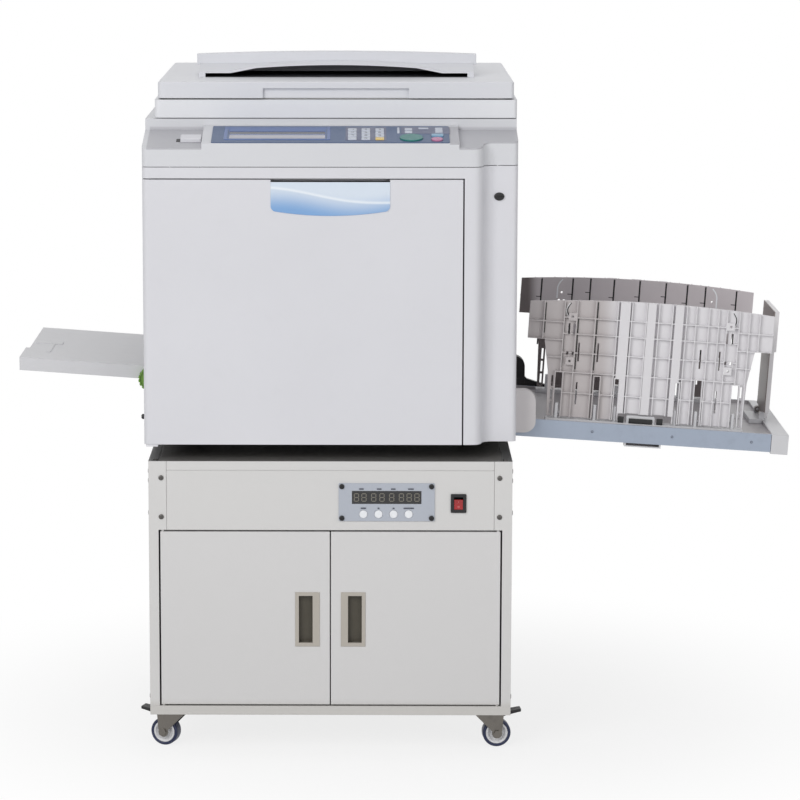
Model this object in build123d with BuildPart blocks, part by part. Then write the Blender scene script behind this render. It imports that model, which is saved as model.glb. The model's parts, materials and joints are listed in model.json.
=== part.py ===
"""Digital duplicator on its wheeled steel cabinet, in millimetres.

+Z is up and the front faces -Y. The origin lies on the floor, under the middle of the whole
object with its two paper trays. Most sizes are measured from the body's front centre line.
"""

import os
from math import atan2, cos, degrees, radians, sin, tan

from build123d import *

os.makedirs("parts", exist_ok=True)

# Reach of the whole object
feed_reach = 551.0
delivery_reach = 812.0
body_d = 660.0
rocker_proud = 5.0
body_x = (feed_reach - delivery_reach) / 2
front_y = (rocker_proud - body_d) / 2

# Castors
castor_h = 73.0
wheel_r = 25.0
wheel_w = 22.0
castor_trail = 23.0
castor_inset_x = 45.0
castor_inset_y = 70.0
castor_yaw_left = 162.0
castor_yaw_right = 5.0
castor_plate = 60.0
castor_plate_t = 3.0
race_r = 18.0
race_h = 4.0
kingpin_r = 5.0
kingpin_head_r = 8.0
kingpin_head_h = 3.0
fork_t = 2.5
fork_gap = 1.5
fork_crown_t = 3.0
fork_boss_r = 9.0
fork_front = 22.0
fork_back = 35.0
axle_r = 4.0
axle_nut_r = 6.5
axle_nut_h = 3.0
pedal_pivot = 29.0
pedal_pivot_z = 57.5
pedal_boss_r = 4.5
pedal_pin_r = 2.5
pedal_reach = 66.0
pedal_rise = 6.0
pedal_t = 4.5
run_gap = 0.3
fit_gap = 0.05

# Cabinet
cabinet_w = 633.0
cabinet_d = 600.0
cabinet_h = 453.0
sheet = 1.5
base_rail_h = 16.0
floor_t = 2.0
floor_flange_h = 38.0
stile_w = 17.0
ear_w = 31.0
ear_h = 122.0
top_rail_h = 16.0
top_rim_w = 17.0
return_d = 20.0
seam = 1.0
screw_r = 4.5
screw_h = 2.2
ear_screw_in = 22.0
ear_screw_top = 29.5
ear_screw_low = 98.5
side_screw_y = 22.0
side_screw_low = 29.0
side_screw_top = 21.0

# Cabinet doors and their pulls
door_gap = 3.0
door_t = 18.0
pivot_in = 4.0
pivot_back = 4.5
pivot_r = 2.5
pull_w = 43.0
pull_h = 97.0
pull_from_seam = 18.5
pull_centre_z = 245.0
pull_rim = 6.5
pull_grip = 12.5
pull_proud = 1.5
pull_pocket_d = 13.0
pull_wall = 1.2

# Counter unit and mains switch on the cabinet's front
counter_in = 218.5
counter_z = 454.0
counter_w = 167.0
counter_h = 67.0
counter_t = 2.0
counter_hole_in = 3.0
counter_hole_side = 17.0
counter_screw_in = 5.5
display_w = 121.0
display_h = 23.0
display_up = 8.5
display_d = 9.0
button_r = 7.0
button_proud = 2.0
button_flange = 1.6
button_flange_t = 1.6
button_first = -40.5
button_pitch = 26.3
button_down = 21.0
button_gap = 0.3
switch_in = 93.5
switch_z = 452.0
switch_w = 27.0
switch_h = 33.0
switch_rim = 3.0
switch_wall = 2.5
switch_rim_t = 2.5
switch_body_d = 24.0
rocker_gap = 0.4
rocker_tilt = 8.0
rocker_pivot_y = 8.0
rocker_pin_r = 1.5

# Duplicator body
body_w = 647.0
foot_h = 29.0
foot_r = 22.0
foot_in_x = 70.0
foot_in_y = 192.0
lower_h = 483.0
wall = 3.0
cover_gap = 2.0
corner_r = 10.0
side_r = 10.0
bay_in = 95.5
bay_gap = 2.5
strip_h = 19.0
flute_in = 79.5
flute_depth = 37.0
column_d = 70.0
plate_t = 3.0
frame_left_in = 93.5
frame_right_in = 48.5
frame_front_y = 100.0
frame_rear_in = 60.0
frame_top_drop = 8.0
base_front = 34.0
base_in = 21.5
hinge_tab = 24.0
tab_in = 3.5
tab_t = 3.7

# Front door of the body
cover_door_d = 26.0
cover_axis_in = 12.0
cover_axis_back = 14.0
cover_pin_r = 4.0
plaque_w = 205.0
plaque_h = 58.0
plaque_side = 42.0
plaque_t = 1.2
finger_slot_h = 4.0
finger_slot_d = 16.0
lock_in = 32.5
lock_z = 984.0
lock_w = 17.5
lock_h = 14.0
lock_proud = 1.2

# Top cover, console and scanner
deck_front_h = 32.0
deck_back_h = 55.0
deck_d = 110.0
deck_top_h = 74.0
console_rise = 8.5
console_left = 221.0
console_right = 221.0
scan_x = 8.5
scan_side = 8.0
scan_h = 31.5
scan_gap = 1.5
scan_rear_in = 17.0
rail_w = 8.0
rail_h = 6.0
rail_front_y = 190.0
rail_rear_in = 90.0
rail_in = 31.5
scan_r = 8.0
glass_w = 432.0
glass_d = 300.0
glass_t = 4.0
glass_y = 300.0
glass_ledge = 8.0
optics_d = 18.0
lid_side = 13.5
lid_h = 28.5
lid_rear_in = 4.0
lid_front_in = 2.0
lid_gap = 2.5
lid_r = 8.0
lid_edge_r = 1.5
lid_rib = 4.0
lid_axis_in = 10.0
lid_axis_up = 3.5
lid_pin_r = 3.0
lid_lug_r = 6.0
lid_lug_w = 30.0
lid_lug_x = 200.0
lid_post_x = 260.0
lid_post_y = 220.0
lid_post = 9.0
grip_w = 254.0
grip_h = 17.0
grip_d = 7.0
pad_in = 12.0
pad_t = 4.0
pad_gap = 0.5

# Pocket for originals on the lid
pocket_w = 500.0
pocket_mouth_w = 465.0
pocket_side_in = 6.0
pocket_front_y = 236.0
pocket_lip_y = 300.0
pocket_lip_d = 26.0
pocket_rear_in = 60.0
pocket_end_h = 7.0
pocket_arch_h = 21.4
pocket_arch_flat = 44.5
pocket_ramp_w = 46.0
pocket_ramp_h = 9.0
pocket_roof = 2.5
pocket_hood_h = 26.0
pocket_nose_h = 9.5
pocket_slope_h = 21.0
pocket_lip_h = 37.0
pocket_lip_crown = 5.0
pocket_lip_low = 18.0
pocket_rear_h = 9.5
pocket_depth = 330.0

# Control panel
panel_w = 409.0
panel_d = 99.0
panel_t = 1.5
panel_in = 0.5
screen_x = -92.0
screen_v = 54.0
window_w = 168.0
window_d = 60.0
screen_t = 3.0
start_x = 139.0
start_v = 26.0
start_r = 20.0
proof_x = 184.0
proof_v = 40.0
proof_w = 21.0
proof_d = 13.0
stop_x = 183.0
stop_v = 16.5
stop_r = 10.0
key_proud = 2.5
key_flange = 1.5
key_flange_t = 2.0
key_well = 7.0
panel_r = 4.0

# Lever that frees the scanner
lever_in = 83.0
lever_y = 45.0
lever_w = 36.0
lever_l = 26.0
lever_h = 7.0
lever_tongue = 6.0
lever_travel = 10.0

# Drum, ink tube and rollers
drum_x = 10.0
drum_z = 880.0
drum_r = 90.0
drum_l = 340.0
drum_wall = 3.0
hub_l = 12.0
paper_y = 328.5
tube_r = 15.0
drum_plate_r = 112.0
drum_plate_t = 4.0
drum_hole_r = 98.0
handle_w = 120.0
handle_h = 22.0
handle_d = 30.0
press_r = 40.0
press_shaft_r = 6.0
nip_gap = 0.5
pickup_out = 20.5
pickup_z = 790.0
pickup_r = 14.0
pickup_l = 60.0
pickup_shaft_r = 4.0

# Feed side
recess_y0 = 85.0
recess_y1 = 565.0
recess_z0 = 625.0
recess_z1 = 880.0
recess_d = 80.0
feed_z = 673.0
feed_slope = 4.0
feed_y = 130.0
feed_d = 383.0
feed_rail_h = 23.0
feed_plate_t = 3.0
feed_arm_w = 10.0
feed_arm_gap = 1.3
feed_arm_in = 70.0
feed_arm_l = 28.0
feed_travel = 105.0
feed_notch = 7.0
feed_step_y = 250.0
knob_in = 4.5
knob_z = 652.0
knob_r = 21.0
knob_t = 16.0
knob_stem_r = 5.0
knob_grooves = 18
knob_groove_r = 1.6
knob_dish = 3.0

# Delivery side
exit_y0 = 120.0
exit_y1 = 537.0
exit_z0 = 690.0
exit_z1 = 870.0
exit_d = 40.0
slot_z = 780.0
slot_h = 40.0
slot_w = 350.0

# Vents and power inlet of the rear cover
vent_x = 150.0
vent_z = 880.0
vent_l = 160.0
vent_w = 5.0
vent_pitch = 14.0
vent_count = 9
inlet_x = 210.0
inlet_z = 600.0
tray_slope = 3.7
tray_z = 580.5
tray_y = 137.0
tray_d = 383.0
tray_start = 6.0
tray_t = 3.0
tray_drop = 6.0
strip_w = 32.0
strip_t = 2.5
end_bar_w = 30.0
end_bar_h = 35.0
hand_hole_w = 18.0
hand_hole_l = 90.0
arm_reach = 38.0
arm_t = 22.0
arm_bottom = 558.0
arm_h = 76.0
arm_r = 20.0
arm_front = 112.0
rail_screws = (-92, 50, 191)
rail_screw_r = 2.5
catch_x = 232.0
catch_w = 65.0
catch_h = 7.0

# Delivery side guides: offsets from their middle along the tray, heights above its strip
guide_y = 165.0
guide_mid = 233.0
guide_half = 217.0
guide_top = 207.0
guide_crown = 217.0
guide_wing = 142.0
guide_wing_in = 187.0
guide_waist = 177.0
guide_leg_out = 174.0
guide_waist_h = 84.0
guide_leg = 4.0
guide_low = 17.0
guide_low_half = 48.0
guide_plate = 3.0
guide_rib_d = 7.0
guide_rib = 2.0
guide_bands = ((-48, 18), (-1, 15), (48, 15))
guide_columns = (-191, -155, -133, -100, -61, -36, -10, 12, 36, 61, 78, 101, 118, 133, 155, 173, 191)
guide_rows_mid = (48, 85, 120, 154, 183)
guide_rows_end = (111, 142, 174)
leg_gaps = ((-157, 12, 84), (-89, 10, 80), (-53.5, 7, 78), (53.5, 7, 78), (91, 12, 85), (157, 12, 80))
ladder_x = 168.0
ladder_slot_w = 3.5
ladder_slots = ((18, 22), (43, 20), (67, 20))
slits = ((-91, 122, 34), (91, 122, 34), (-125, 121, 34), (125, 121, 34), (-124, 47, 40), (124, 47, 40))
slit_w = 3.0
boss_x = 140.5
boss_h = (105.0, 184.5)
boss_w = 14.0
boss_hole_r = 2.2
latch_slots = ((145.0, 162, 19), (135.5, 162, 19), (145.0, 118, 6), (135.5, 118, 6))
groove_x = (-179, -121, -88, -44, 4, 53, 93, 127, 185)
groove_w = 3.0
guide_groove = 1.0
hinge_h = 10.0
hinge_in = 2.0
hinge_pin_r = 2.5
knuckle_r = 5.0
knuckle_l = 9.5
knuckles = ((-157, 1), (-89, -1), (91, 1), (157, -1))
carriage_half = 176.0
carriage_y = 150.0
carriage_w = 25.0
carriage_low = -5.7
carriage_top = 1.5
prong_w = 5.0
prong_h = 28.0
prong_d = 10.0
latch_x = (-32.0, 18.0)
latch_top = 14.5
foot_w = 10.0
foot_l = 18.0
foot_flange = 3.0
foot_clear = 0.3
foot_x = 150.0
guide_travel = 68.0

# Delivery end plate
stop_in = 21.0
stop_w = 163.0
stop_neck_w = 112.0
stop_foot_w = 70.0
stop_top = 205.0
stop_shoulder = 132.0
stop_t = 3.0
stop_rib_d = 6.0
stop_travel = 200.0
stop_base_w = 92.0
stop_base_l = 25.0
stop_lug = 6.0
stop_columns = (-40, 0, 40)
stop_rows = (48, 90, 132, 170)

# Heights that follow from the sizes above
cabinet_z = castor_h
cabinet_top_z = castor_h + cabinet_h
rail_z = cabinet_z + base_rail_h
ear_z = cabinet_top_z - ear_h
body_z = cabinet_top_z + foot_h
seam_z = body_z + lower_h
deck_z = seam_z + deck_top_h
scan_z = deck_z + scan_gap
scan_top = scan_z + scan_h
lid_z = scan_top + lid_gap
lid_top = lid_z + lid_h
strip_z = seam_z - strip_h - 1.0
half_w = body_w / 2
bay_right = half_w - bay_in

# Places that follow from the widths and depths above
base_half = half_w - base_in
frame_left = half_w - frame_left_in
frame_right = half_w - frame_right_in
frame_rear_y = body_d - frame_rear_in
flute_x = half_w - flute_in
lock_x = half_w - lock_in
scan_w = body_w - 2 * scan_side
scan_rear_y = body_d - scan_rear_in
rail_rear_y = body_d - rail_rear_in
rail_half = half_w - rail_in
lid_w = body_w - 2 * lid_side
lid_rear_y = body_d - lid_rear_in
lid_axis_y = body_d - lid_axis_in
pocket_rear_y = body_d - pocket_rear_in
lever_x = lever_in - half_w
pickup_x = recess_d - half_w - pickup_out
knob_x = knob_in - half_w
switch_x = cabinet_w / 2 - switch_in
counter_x = cabinet_w / 2 - counter_in


def level(z):
    """Plane parallel to the floor at height z, with 0, 0 under the body's front centre."""
    return Plane(origin=(body_x, front_y, z))


def facing(y):
    """Upright plane seen from the front, y behind the body's front; its normal points forward."""
    return Plane(origin=(body_x, front_y + y, 0), x_dir=(1, 0, 0), z_dir=(0, -1, 0))


def side(x):
    """Upright plane seen from the right, x from the body's middle; its normal points right."""
    return Plane(origin=(body_x + x, front_y, 0), x_dir=(0, 1, 0), z_dir=(1, 0, 0))


def block(x0, x1, y0, y1, z0, z1, mode=Mode.ADD):
    """Box between limits measured from the body's front centre and the floor."""
    with Locations((body_x + (x0 + x1) / 2, front_y + (y0 + y1) / 2, (z0 + z1) / 2)):
        Box(x1 - x0, y1 - y0, z1 - z0, mode=mode)


def span(x0, x1, y0, y1, mode=Mode.ADD):
    """Rectangle between limits on a sketch's own plane."""
    with Locations(((x0 + x1) / 2, (y0 + y1) / 2)):
        Rectangle(x1 - x0, y1 - y0, mode=mode)


# Cabinet shell: two folded side panels with stile, ear, top rim and rear flange, and the back
cab_left = -cabinet_w / 2
with BuildPart() as cabinet_shell:
    block(cab_left, cab_left + sheet, sheet, cabinet_d, cabinet_z, cabinet_top_z)
    block(cab_left, cab_left + stile_w, 0, sheet, rail_z, cabinet_top_z)
    block(cab_left, cab_left + ear_w, 0, sheet, ear_z, cabinet_top_z)
    block(cab_left, cab_left + top_rim_w, 0, cabinet_d, cabinet_top_z - sheet, cabinet_top_z)
    block(cab_left, cab_left + stile_w, cabinet_d - sheet, cabinet_d, cabinet_z, cabinet_top_z)
    mirror(about=Plane.YZ.offset(body_x))
    block(
        cab_left + sheet,
        -cab_left - sheet,
        cabinet_d - 2 * sheet,
        cabinet_d - sheet,
        cabinet_z + floor_t,
        cabinet_top_z - 2 * sheet,
    )
cabinet_shell.part.label = "cabinet_shell"
export_step(cabinet_shell.part, "parts/cabinet_shell.step")

# Door pivots: one axis at each outer edge, with a hole in the rail below and the panel above
pivot_x = -cab_left - stile_w - door_gap - pivot_in
door_bottom = rail_z + door_gap
door_top = ear_z - door_gap

# Cabinet floor: a pan with the base rail in front and flanges inside the side panels
with BuildPart() as cabinet_floor:
    block(cab_left + sheet, -cab_left - sheet, sheet, cabinet_d - 2 * sheet, cabinet_z, cabinet_z + floor_t)
    block(cab_left, -cab_left, 0, sheet, cabinet_z, rail_z)
    block(cab_left + sheet, -cab_left - sheet, sheet, return_d, rail_z - sheet, rail_z)
    flange = (return_d, cabinet_d - 2 * sheet, cabinet_z, cabinet_z + floor_flange_h)
    block(cab_left + sheet, cab_left + 2 * sheet, *flange)
    block(-cab_left - 2 * sheet, -cab_left - sheet, *flange)
    with Locations(
        (body_x - pivot_x, front_y + pivot_back, rail_z - sheet / 2),
        (body_x + pivot_x, front_y + pivot_back, rail_z - sheet / 2),
    ):
        Cylinder(pivot_r + fit_gap, 2 * sheet, mode=Mode.SUBTRACT)
cabinet_floor.part.label = "cabinet_floor"
export_step(cabinet_floor.part, "parts/cabinet_floor.step")

# Cabinet top plate, joggled under the side panels' rims
top_half = cabinet_w / 2 - top_rim_w - seam
with BuildPart() as cabinet_top:
    block(-top_half, top_half, sheet, cabinet_d - sheet, cabinet_top_z - sheet, cabinet_top_z)
    block(
        cab_left + sheet,
        -cab_left - sheet,
        2 * sheet,
        cabinet_d - sheet,
        cabinet_top_z - 2 * sheet,
        cabinet_top_z - sheet,
    )
cabinet_top.part.label = "cabinet_top"
export_step(cabinet_top.part, "parts/cabinet_top.step")

# Upper front panel: between the ears, with a joggled backing behind them and a groove for its rail
panel_half = cabinet_w / 2 - ear_w - seam / 2
counter_hole_w = counter_w - 2 * counter_hole_side
counter_hole_h = counter_h - 2 * counter_hole_in
with BuildPart() as cabinet_front_panel:
    block(-panel_half, panel_half, 0, sheet, ear_z, cabinet_top_z)
    block(cab_left + sheet, -cab_left - sheet, sheet, 2 * sheet, ear_z, cabinet_top_z - 2 * sheet)
    block(cab_left + sheet, -cab_left - sheet, sheet, return_d, ear_z, ear_z + sheet)
    groove_z = cabinet_top_z - top_rail_h
    block(-panel_half, panel_half, 0, sheet / 2, groove_z - seam, groove_z, mode=Mode.SUBTRACT)
    block(
        counter_x - counter_hole_w / 2,
        counter_x + counter_hole_w / 2,
        0,
        return_d,
        counter_z - counter_hole_h / 2,
        counter_z + counter_hole_h / 2,
        mode=Mode.SUBTRACT,
    )
    block(
        switch_x - switch_w / 2 + switch_rim,
        switch_x + switch_w / 2 - switch_rim,
        0,
        return_d,
        switch_z - switch_h / 2 + switch_rim,
        switch_z + switch_h / 2 - switch_rim,
        mode=Mode.SUBTRACT,
    )
    with Locations(
        (body_x - pivot_x, front_y + pivot_back, ear_z + sheet / 2),
        (body_x + pivot_x, front_y + pivot_back, ear_z + sheet / 2),
    ):
        Cylinder(pivot_r + fit_gap, 6 * sheet, mode=Mode.SUBTRACT)
cabinet_front_panel.part.label = "cabinet_front_panel"
export_step(cabinet_front_panel.part, "parts/cabinet_front_panel.step")

# Screw heads: two on each ear, two on each side face
with BuildPart() as cabinet_screws:
    ear_screw_x = cabinet_w / 2 - ear_screw_in
    with BuildSketch(facing(0)):
        with Locations(
            (-ear_screw_x, cabinet_top_z - ear_screw_top),
            (-ear_screw_x, cabinet_top_z - ear_screw_low),
            (ear_screw_x, cabinet_top_z - ear_screw_top),
            (ear_screw_x, cabinet_top_z - ear_screw_low),
        ):
            Circle(screw_r)
    extrude(amount=screw_h)
    for x, out in ((cab_left, -screw_h), (-cab_left, screw_h)):
        with BuildSketch(side(x)):
            with Locations(
                (side_screw_y, cabinet_z + side_screw_low),
                (side_screw_y, cabinet_top_z - side_screw_top),
            ):
                Circle(screw_r)
        extrude(amount=out)
cabinet_screws.part.label = "cabinet_screws"
export_step(cabinet_screws.part, "parts/cabinet_screws.step")


def cabinet_door(hand):
    """Folded steel door with two pivot pins; hand is -1 for the left door and 1 for the right."""
    outer = cabinet_w / 2 - stile_w - door_gap
    pull_mid = pull_from_seam + pull_w / 2
    with BuildPart() as door:
        low, high = sorted((hand * seam, hand * outer))
        block(low, high, 0, door_t, door_bottom, door_top)
        inside = (low + sheet, high - sheet, sheet, door_t)
        block(*inside, door_bottom + sheet, door_top - sheet, mode=Mode.SUBTRACT)
        pocket = (hand * pull_mid - pull_w / 2 + 4, hand * pull_mid + pull_w / 2 - 4, 0, sheet)
        block(*pocket, pull_centre_z - pull_h / 2 + 4, pull_centre_z + pull_h / 2 - 4, mode=Mode.SUBTRACT)
        pin_l = door_gap + 2 * sheet
        for z in (door_bottom - pin_l / 2 + sheet / 2, door_top + pin_l / 2 - sheet / 2):
            with Locations((body_x + hand * pivot_x, front_y + pivot_back, z)):
                Cylinder(pivot_r, pin_l + sheet)
    return door.part


cabinet_door_left = cabinet_door(-1)
cabinet_door_left.label = "cabinet_door_left"
export_step(cabinet_door_left, "parts/cabinet_door_left.step")
cabinet_door_right = cabinet_door(1)
cabinet_door_right.label = "cabinet_door_right"
export_step(cabinet_door_right, "parts/cabinet_door_right.step")


def cabinet_pull(hand):
    """Recessed pull: a rim on the door's face and a cup behind it, the grip side towards the seam."""
    near = hand * pull_from_seam
    far = hand * (pull_from_seam + pull_w)
    mouth = sorted((near + hand * pull_grip, far - hand * pull_rim))
    cup = sorted((near + hand * 4.0, far - hand * 4.0))
    low, high = pull_centre_z - pull_h / 2, pull_centre_z + pull_h / 2
    with BuildPart() as pull:
        block(*sorted((near, far)), -pull_proud, 0, low, high)
        fillet(pull.faces().sort_by(Axis.Y)[0].edges(), pull_proud / 2)
        block(*cup, 0, pull_pocket_d, low + 4.0, high - 4.0)
        inner = (cup[0] + pull_wall, cup[1] - pull_wall, 0, pull_pocket_d - pull_wall)
        block(*inner, low + pull_rim, high - pull_rim, mode=Mode.SUBTRACT)
        block(*mouth, -pull_proud, pull_proud, low + pull_rim, high - pull_rim, mode=Mode.SUBTRACT)
    return pull.part


cabinet_pull_left = cabinet_pull(-1)
cabinet_pull_left.label = "cabinet_pull_left"
export_step(cabinet_pull_left, "parts/cabinet_pull_left.step")
cabinet_pull_right = cabinet_pull(1)
cabinet_pull_right.label = "cabinet_pull_right"
export_step(cabinet_pull_right, "parts/cabinet_pull_right.step")

# Counter plate with its corner screws, display window and four round holes
button_x = [counter_x + button_first + i * button_pitch for i in range(4)]
button_z = counter_z - button_down
display_z = counter_z + display_up
with BuildPart() as counter_plate:
    with BuildSketch(facing(0)):
        with Locations((counter_x, counter_z)):
            RectangleRounded(counter_w, counter_h, 2.0)
        with Locations((counter_x, display_z)):
            Rectangle(display_w, display_h, mode=Mode.SUBTRACT)
        with Locations(*[(x, button_z) for x in button_x]):
            Circle(button_r + button_gap, mode=Mode.SUBTRACT)
    extrude(amount=counter_t)
    with BuildSketch(facing(-counter_t)):
        with Locations((counter_x, counter_z)):
            with GridLocations(counter_w - 2 * counter_screw_in, counter_h - 2 * counter_screw_in, 2, 2):
                Circle(screw_r * 0.9)
    extrude(amount=screw_h / 2)
counter_plate.part.label = "counter_plate"
export_step(counter_plate.part, "parts/counter_plate.step")

# Display window of the counter, a dark block through the plate
with BuildPart() as counter_display:
    with BuildSketch(facing(-counter_t)):
        with Locations((counter_x, display_z)):
            Rectangle(display_w, display_h)
    extrude(amount=-display_d)
counter_display.part.label = "counter_display"
export_step(counter_display.part, "parts/counter_display.step")

# Four push buttons of the counter, each with a flange behind the plate
for i, x in enumerate(button_x, start=1):
    with BuildPart() as counter_button:
        with BuildSketch(facing(button_gap)):
            with Locations((x, button_z)):
                Circle(button_r)
        extrude(amount=counter_t + button_proud + button_gap)
        chamfer(counter_button.faces().sort_by(Axis.Y)[0].edges(), 0.8)
        with BuildSketch(facing(button_gap)):
            with Locations((x, button_z)):
                Circle(button_r + button_flange)
        extrude(amount=-button_flange_t)
    counter_button.part.label = f"counter_button_{i}"
    export_step(counter_button.part, f"parts/counter_button_{i}.step")

# Bezel of the mains switch: a rim on the panel and a box body behind it
switch_in_w = switch_w - 2 * switch_rim - 2 * switch_wall
switch_in_h = switch_h - 2 * switch_rim - 2 * switch_wall
with BuildPart() as switch_bezel:
    with BuildSketch(facing(0)):
        with Locations((switch_x, switch_z)):
            RectangleRounded(switch_w, switch_h, 1.5)
    extrude(amount=switch_rim_t)
    with BuildSketch(facing(0)):
        with Locations((switch_x, switch_z)):
            Rectangle(switch_w - 2 * switch_rim, switch_h - 2 * switch_rim)
    extrude(amount=-switch_body_d)
    with BuildSketch(facing(-switch_rim_t)):
        with Locations((switch_x, switch_z)):
            Rectangle(switch_in_w, switch_in_h)
    extrude(amount=-switch_body_d, mode=Mode.SUBTRACT)
    with Locations((body_x + switch_x, front_y + rocker_pivot_y, switch_z)):
        Cylinder(rocker_pin_r, switch_in_w + 1.0, rotation=(0, 90, 0))
switch_bezel.part.label = "switch_bezel"
export_step(switch_bezel.part, "parts/switch_bezel.step")

# Rocker of the mains switch, tilted about its pin, which passes through it
rocker_half = switch_in_h / 2 - rocker_gap - 1.6
rocker_plane = Plane(
    origin=(body_x + switch_x, front_y + rocker_pivot_y, switch_z),
    x_dir=(0, cos(radians(rocker_tilt)), sin(radians(rocker_tilt))),
    z_dir=(1, 0, 0),
)
tilt = radians(rocker_tilt)
rocker_face = (rocker_pivot_y + rocker_proud - rocker_half * sin(tilt)) / cos(tilt)
with BuildPart() as power_rocker:
    with BuildSketch(rocker_plane):
        with BuildLine():
            Polyline(
                (-rocker_face, rocker_half),
                (-rocker_face + 2.0, 0),
                (-rocker_face, -rocker_half),
                (0, -rocker_half / 2),
                (5.0, 0),
                (0, rocker_half / 2),
                close=True,
            )
        make_face()
        Circle(rocker_pin_r + fit_gap, mode=Mode.SUBTRACT)
    extrude(amount=switch_in_w / 2 - rocker_gap, both=True)
power_rocker.part.label = "power_rocker"
export_step(power_rocker.part, "parts/power_rocker.step")

# Castor places: front pair swivels, rear pair is fixed
castor_x = cabinet_w / 2 - castor_inset_x
castor_front = castor_inset_y
castor_rear = cabinet_d - castor_inset_y
castor_spots = [
    (-castor_x, castor_front),
    (castor_x, castor_front),
    (-castor_x, castor_rear),
    (castor_x, castor_rear),
]
race_z = cabinet_z - castor_plate_t - race_h
crown_top = race_z - run_gap
crown_z = crown_top - fork_crown_t
with BuildPart() as castor_plates:
    with BuildSketch(level(cabinet_z)):
        with Locations(*castor_spots):
            RectangleRounded(castor_plate, castor_plate, 5.0)
    extrude(amount=-castor_plate_t)
    with BuildSketch(level(cabinet_z - castor_plate_t)):
        with Locations(*castor_spots):
            Circle(race_r)
    extrude(amount=-race_h)
    with BuildSketch(level(race_z)):
        with Locations(*castor_spots[2:]):
            Circle(race_r)
    extrude(amount=-run_gap)
    with BuildSketch(level(race_z)):
        with Locations(*castor_spots[:2]):
            Circle(kingpin_r)
    extrude(amount=crown_z - race_z - run_gap)
    with BuildSketch(level(crown_z - run_gap)):
        with Locations(*castor_spots[:2]):
            Circle(kingpin_head_r)
    extrude(amount=-kingpin_head_h)
leg_in = wheel_w / 2 + fork_gap


def castor_plane(spot, yaw):
    """Upright plane through a castor's swivel axis; its x runs along the trail, its y up."""
    angle = radians(yaw)
    return Plane(
        origin=(body_x + spot[0], front_y + spot[1], 0),
        x_dir=(cos(angle), sin(angle), 0),
        z_dir=(sin(angle), -cos(angle), 0),
    )


def castor_fork(spot, yaw, swivels):
    """Pressed fork: crown, two legs down to the axle, and the axle bolt through the wheel."""
    plane = castor_plane(spot, yaw)
    back = fork_back if swivels else fork_front
    with BuildPart() as fork:
        with BuildSketch(plane.offset(-leg_in - fork_t)):
            with BuildLine():
                Polyline(
                    (-fork_front, crown_top),
                    (back, crown_top if not swivels else crown_z),
                    (castor_trail + fork_boss_r, wheel_r + 4.0),
                    (castor_trail, wheel_r - fork_boss_r),
                    (castor_trail - fork_boss_r, wheel_r + 4.0),
                    close=True,
                )
            make_face()
            with Locations((castor_trail, wheel_r)):
                Circle(fork_boss_r)
        extrude(amount=fork_t)
        mirror(about=plane)
        crown = Plane(origin=plane.origin, x_dir=plane.x_dir, z_dir=(0, 0, 1))
        with BuildSketch(crown.offset(crown_z)):
            span(-fork_front, fork_front, -leg_in - fork_t, leg_in + fork_t)
            if swivels:
                Circle(kingpin_r + fit_gap, mode=Mode.SUBTRACT)
        extrude(amount=fork_crown_t)
        with BuildSketch(plane.offset(-leg_in - fork_t - axle_nut_h)):
            with Locations((castor_trail, wheel_r)):
                RegularPolygon(axle_nut_r, 6)
        extrude(amount=axle_nut_h)
        with BuildSketch(plane.offset(leg_in + fork_t)):
            with Locations((castor_trail, wheel_r)):
                RegularPolygon(axle_nut_r, 6)
        extrude(amount=axle_nut_h)
        with BuildSketch(plane.offset(-leg_in)):
            with Locations((castor_trail, wheel_r)):
                Circle(axle_r)
        extrude(amount=2 * leg_in)
        if swivels:
            with BuildSketch(plane.offset(-leg_in)):
                with Locations((pedal_pivot, pedal_pivot_z)):
                    Circle(pedal_pin_r)
            extrude(amount=2 * leg_in)
    return fork.part


def castor_wheel(spot, yaw):
    """Wheel with a rounded tread and a bore that runs on the axle."""
    plane = castor_plane(spot, yaw)
    with BuildPart() as wheel:
        with BuildSketch(plane.offset(-wheel_w / 2)):
            with Locations((castor_trail, wheel_r)):
                Circle(wheel_r)
        extrude(amount=wheel_w)
        chamfer(wheel.edges().filter_by(GeomType.CIRCLE), 2.0)
        with BuildSketch(plane.offset(-wheel_w / 2)):
            with Locations((castor_trail, wheel_r)):
                Circle(axle_r + fit_gap)
        extrude(amount=wheel_w, mode=Mode.SUBTRACT)
    return wheel.part


def castor_pedal(spot, yaw):
    """Brake pedal on a pin between the fork's legs, reaching out over the wheel."""
    plane = castor_plane(spot, yaw)
    with BuildPart() as pedal:
        with BuildSketch(plane.offset(-wheel_w / 2)):
            with Locations((pedal_pivot, pedal_pivot_z)):
                Circle(pedal_boss_r)
            with BuildLine():
                Polyline(
                    (pedal_pivot, pedal_pivot_z + pedal_boss_r),
                    (pedal_reach, pedal_pivot_z + pedal_rise + pedal_t),
                    (pedal_reach, pedal_pivot_z + pedal_rise),
                    (pedal_pivot + 12.0, pedal_pivot_z + pedal_boss_r - pedal_t),
                    (pedal_pivot, pedal_pivot_z - pedal_boss_r),
                    close=True,
                )
            make_face()
            with Locations((pedal_pivot, pedal_pivot_z)):
                Circle(pedal_pin_r + fit_gap, mode=Mode.SUBTRACT)
        extrude(amount=wheel_w)
    return pedal.part


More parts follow.
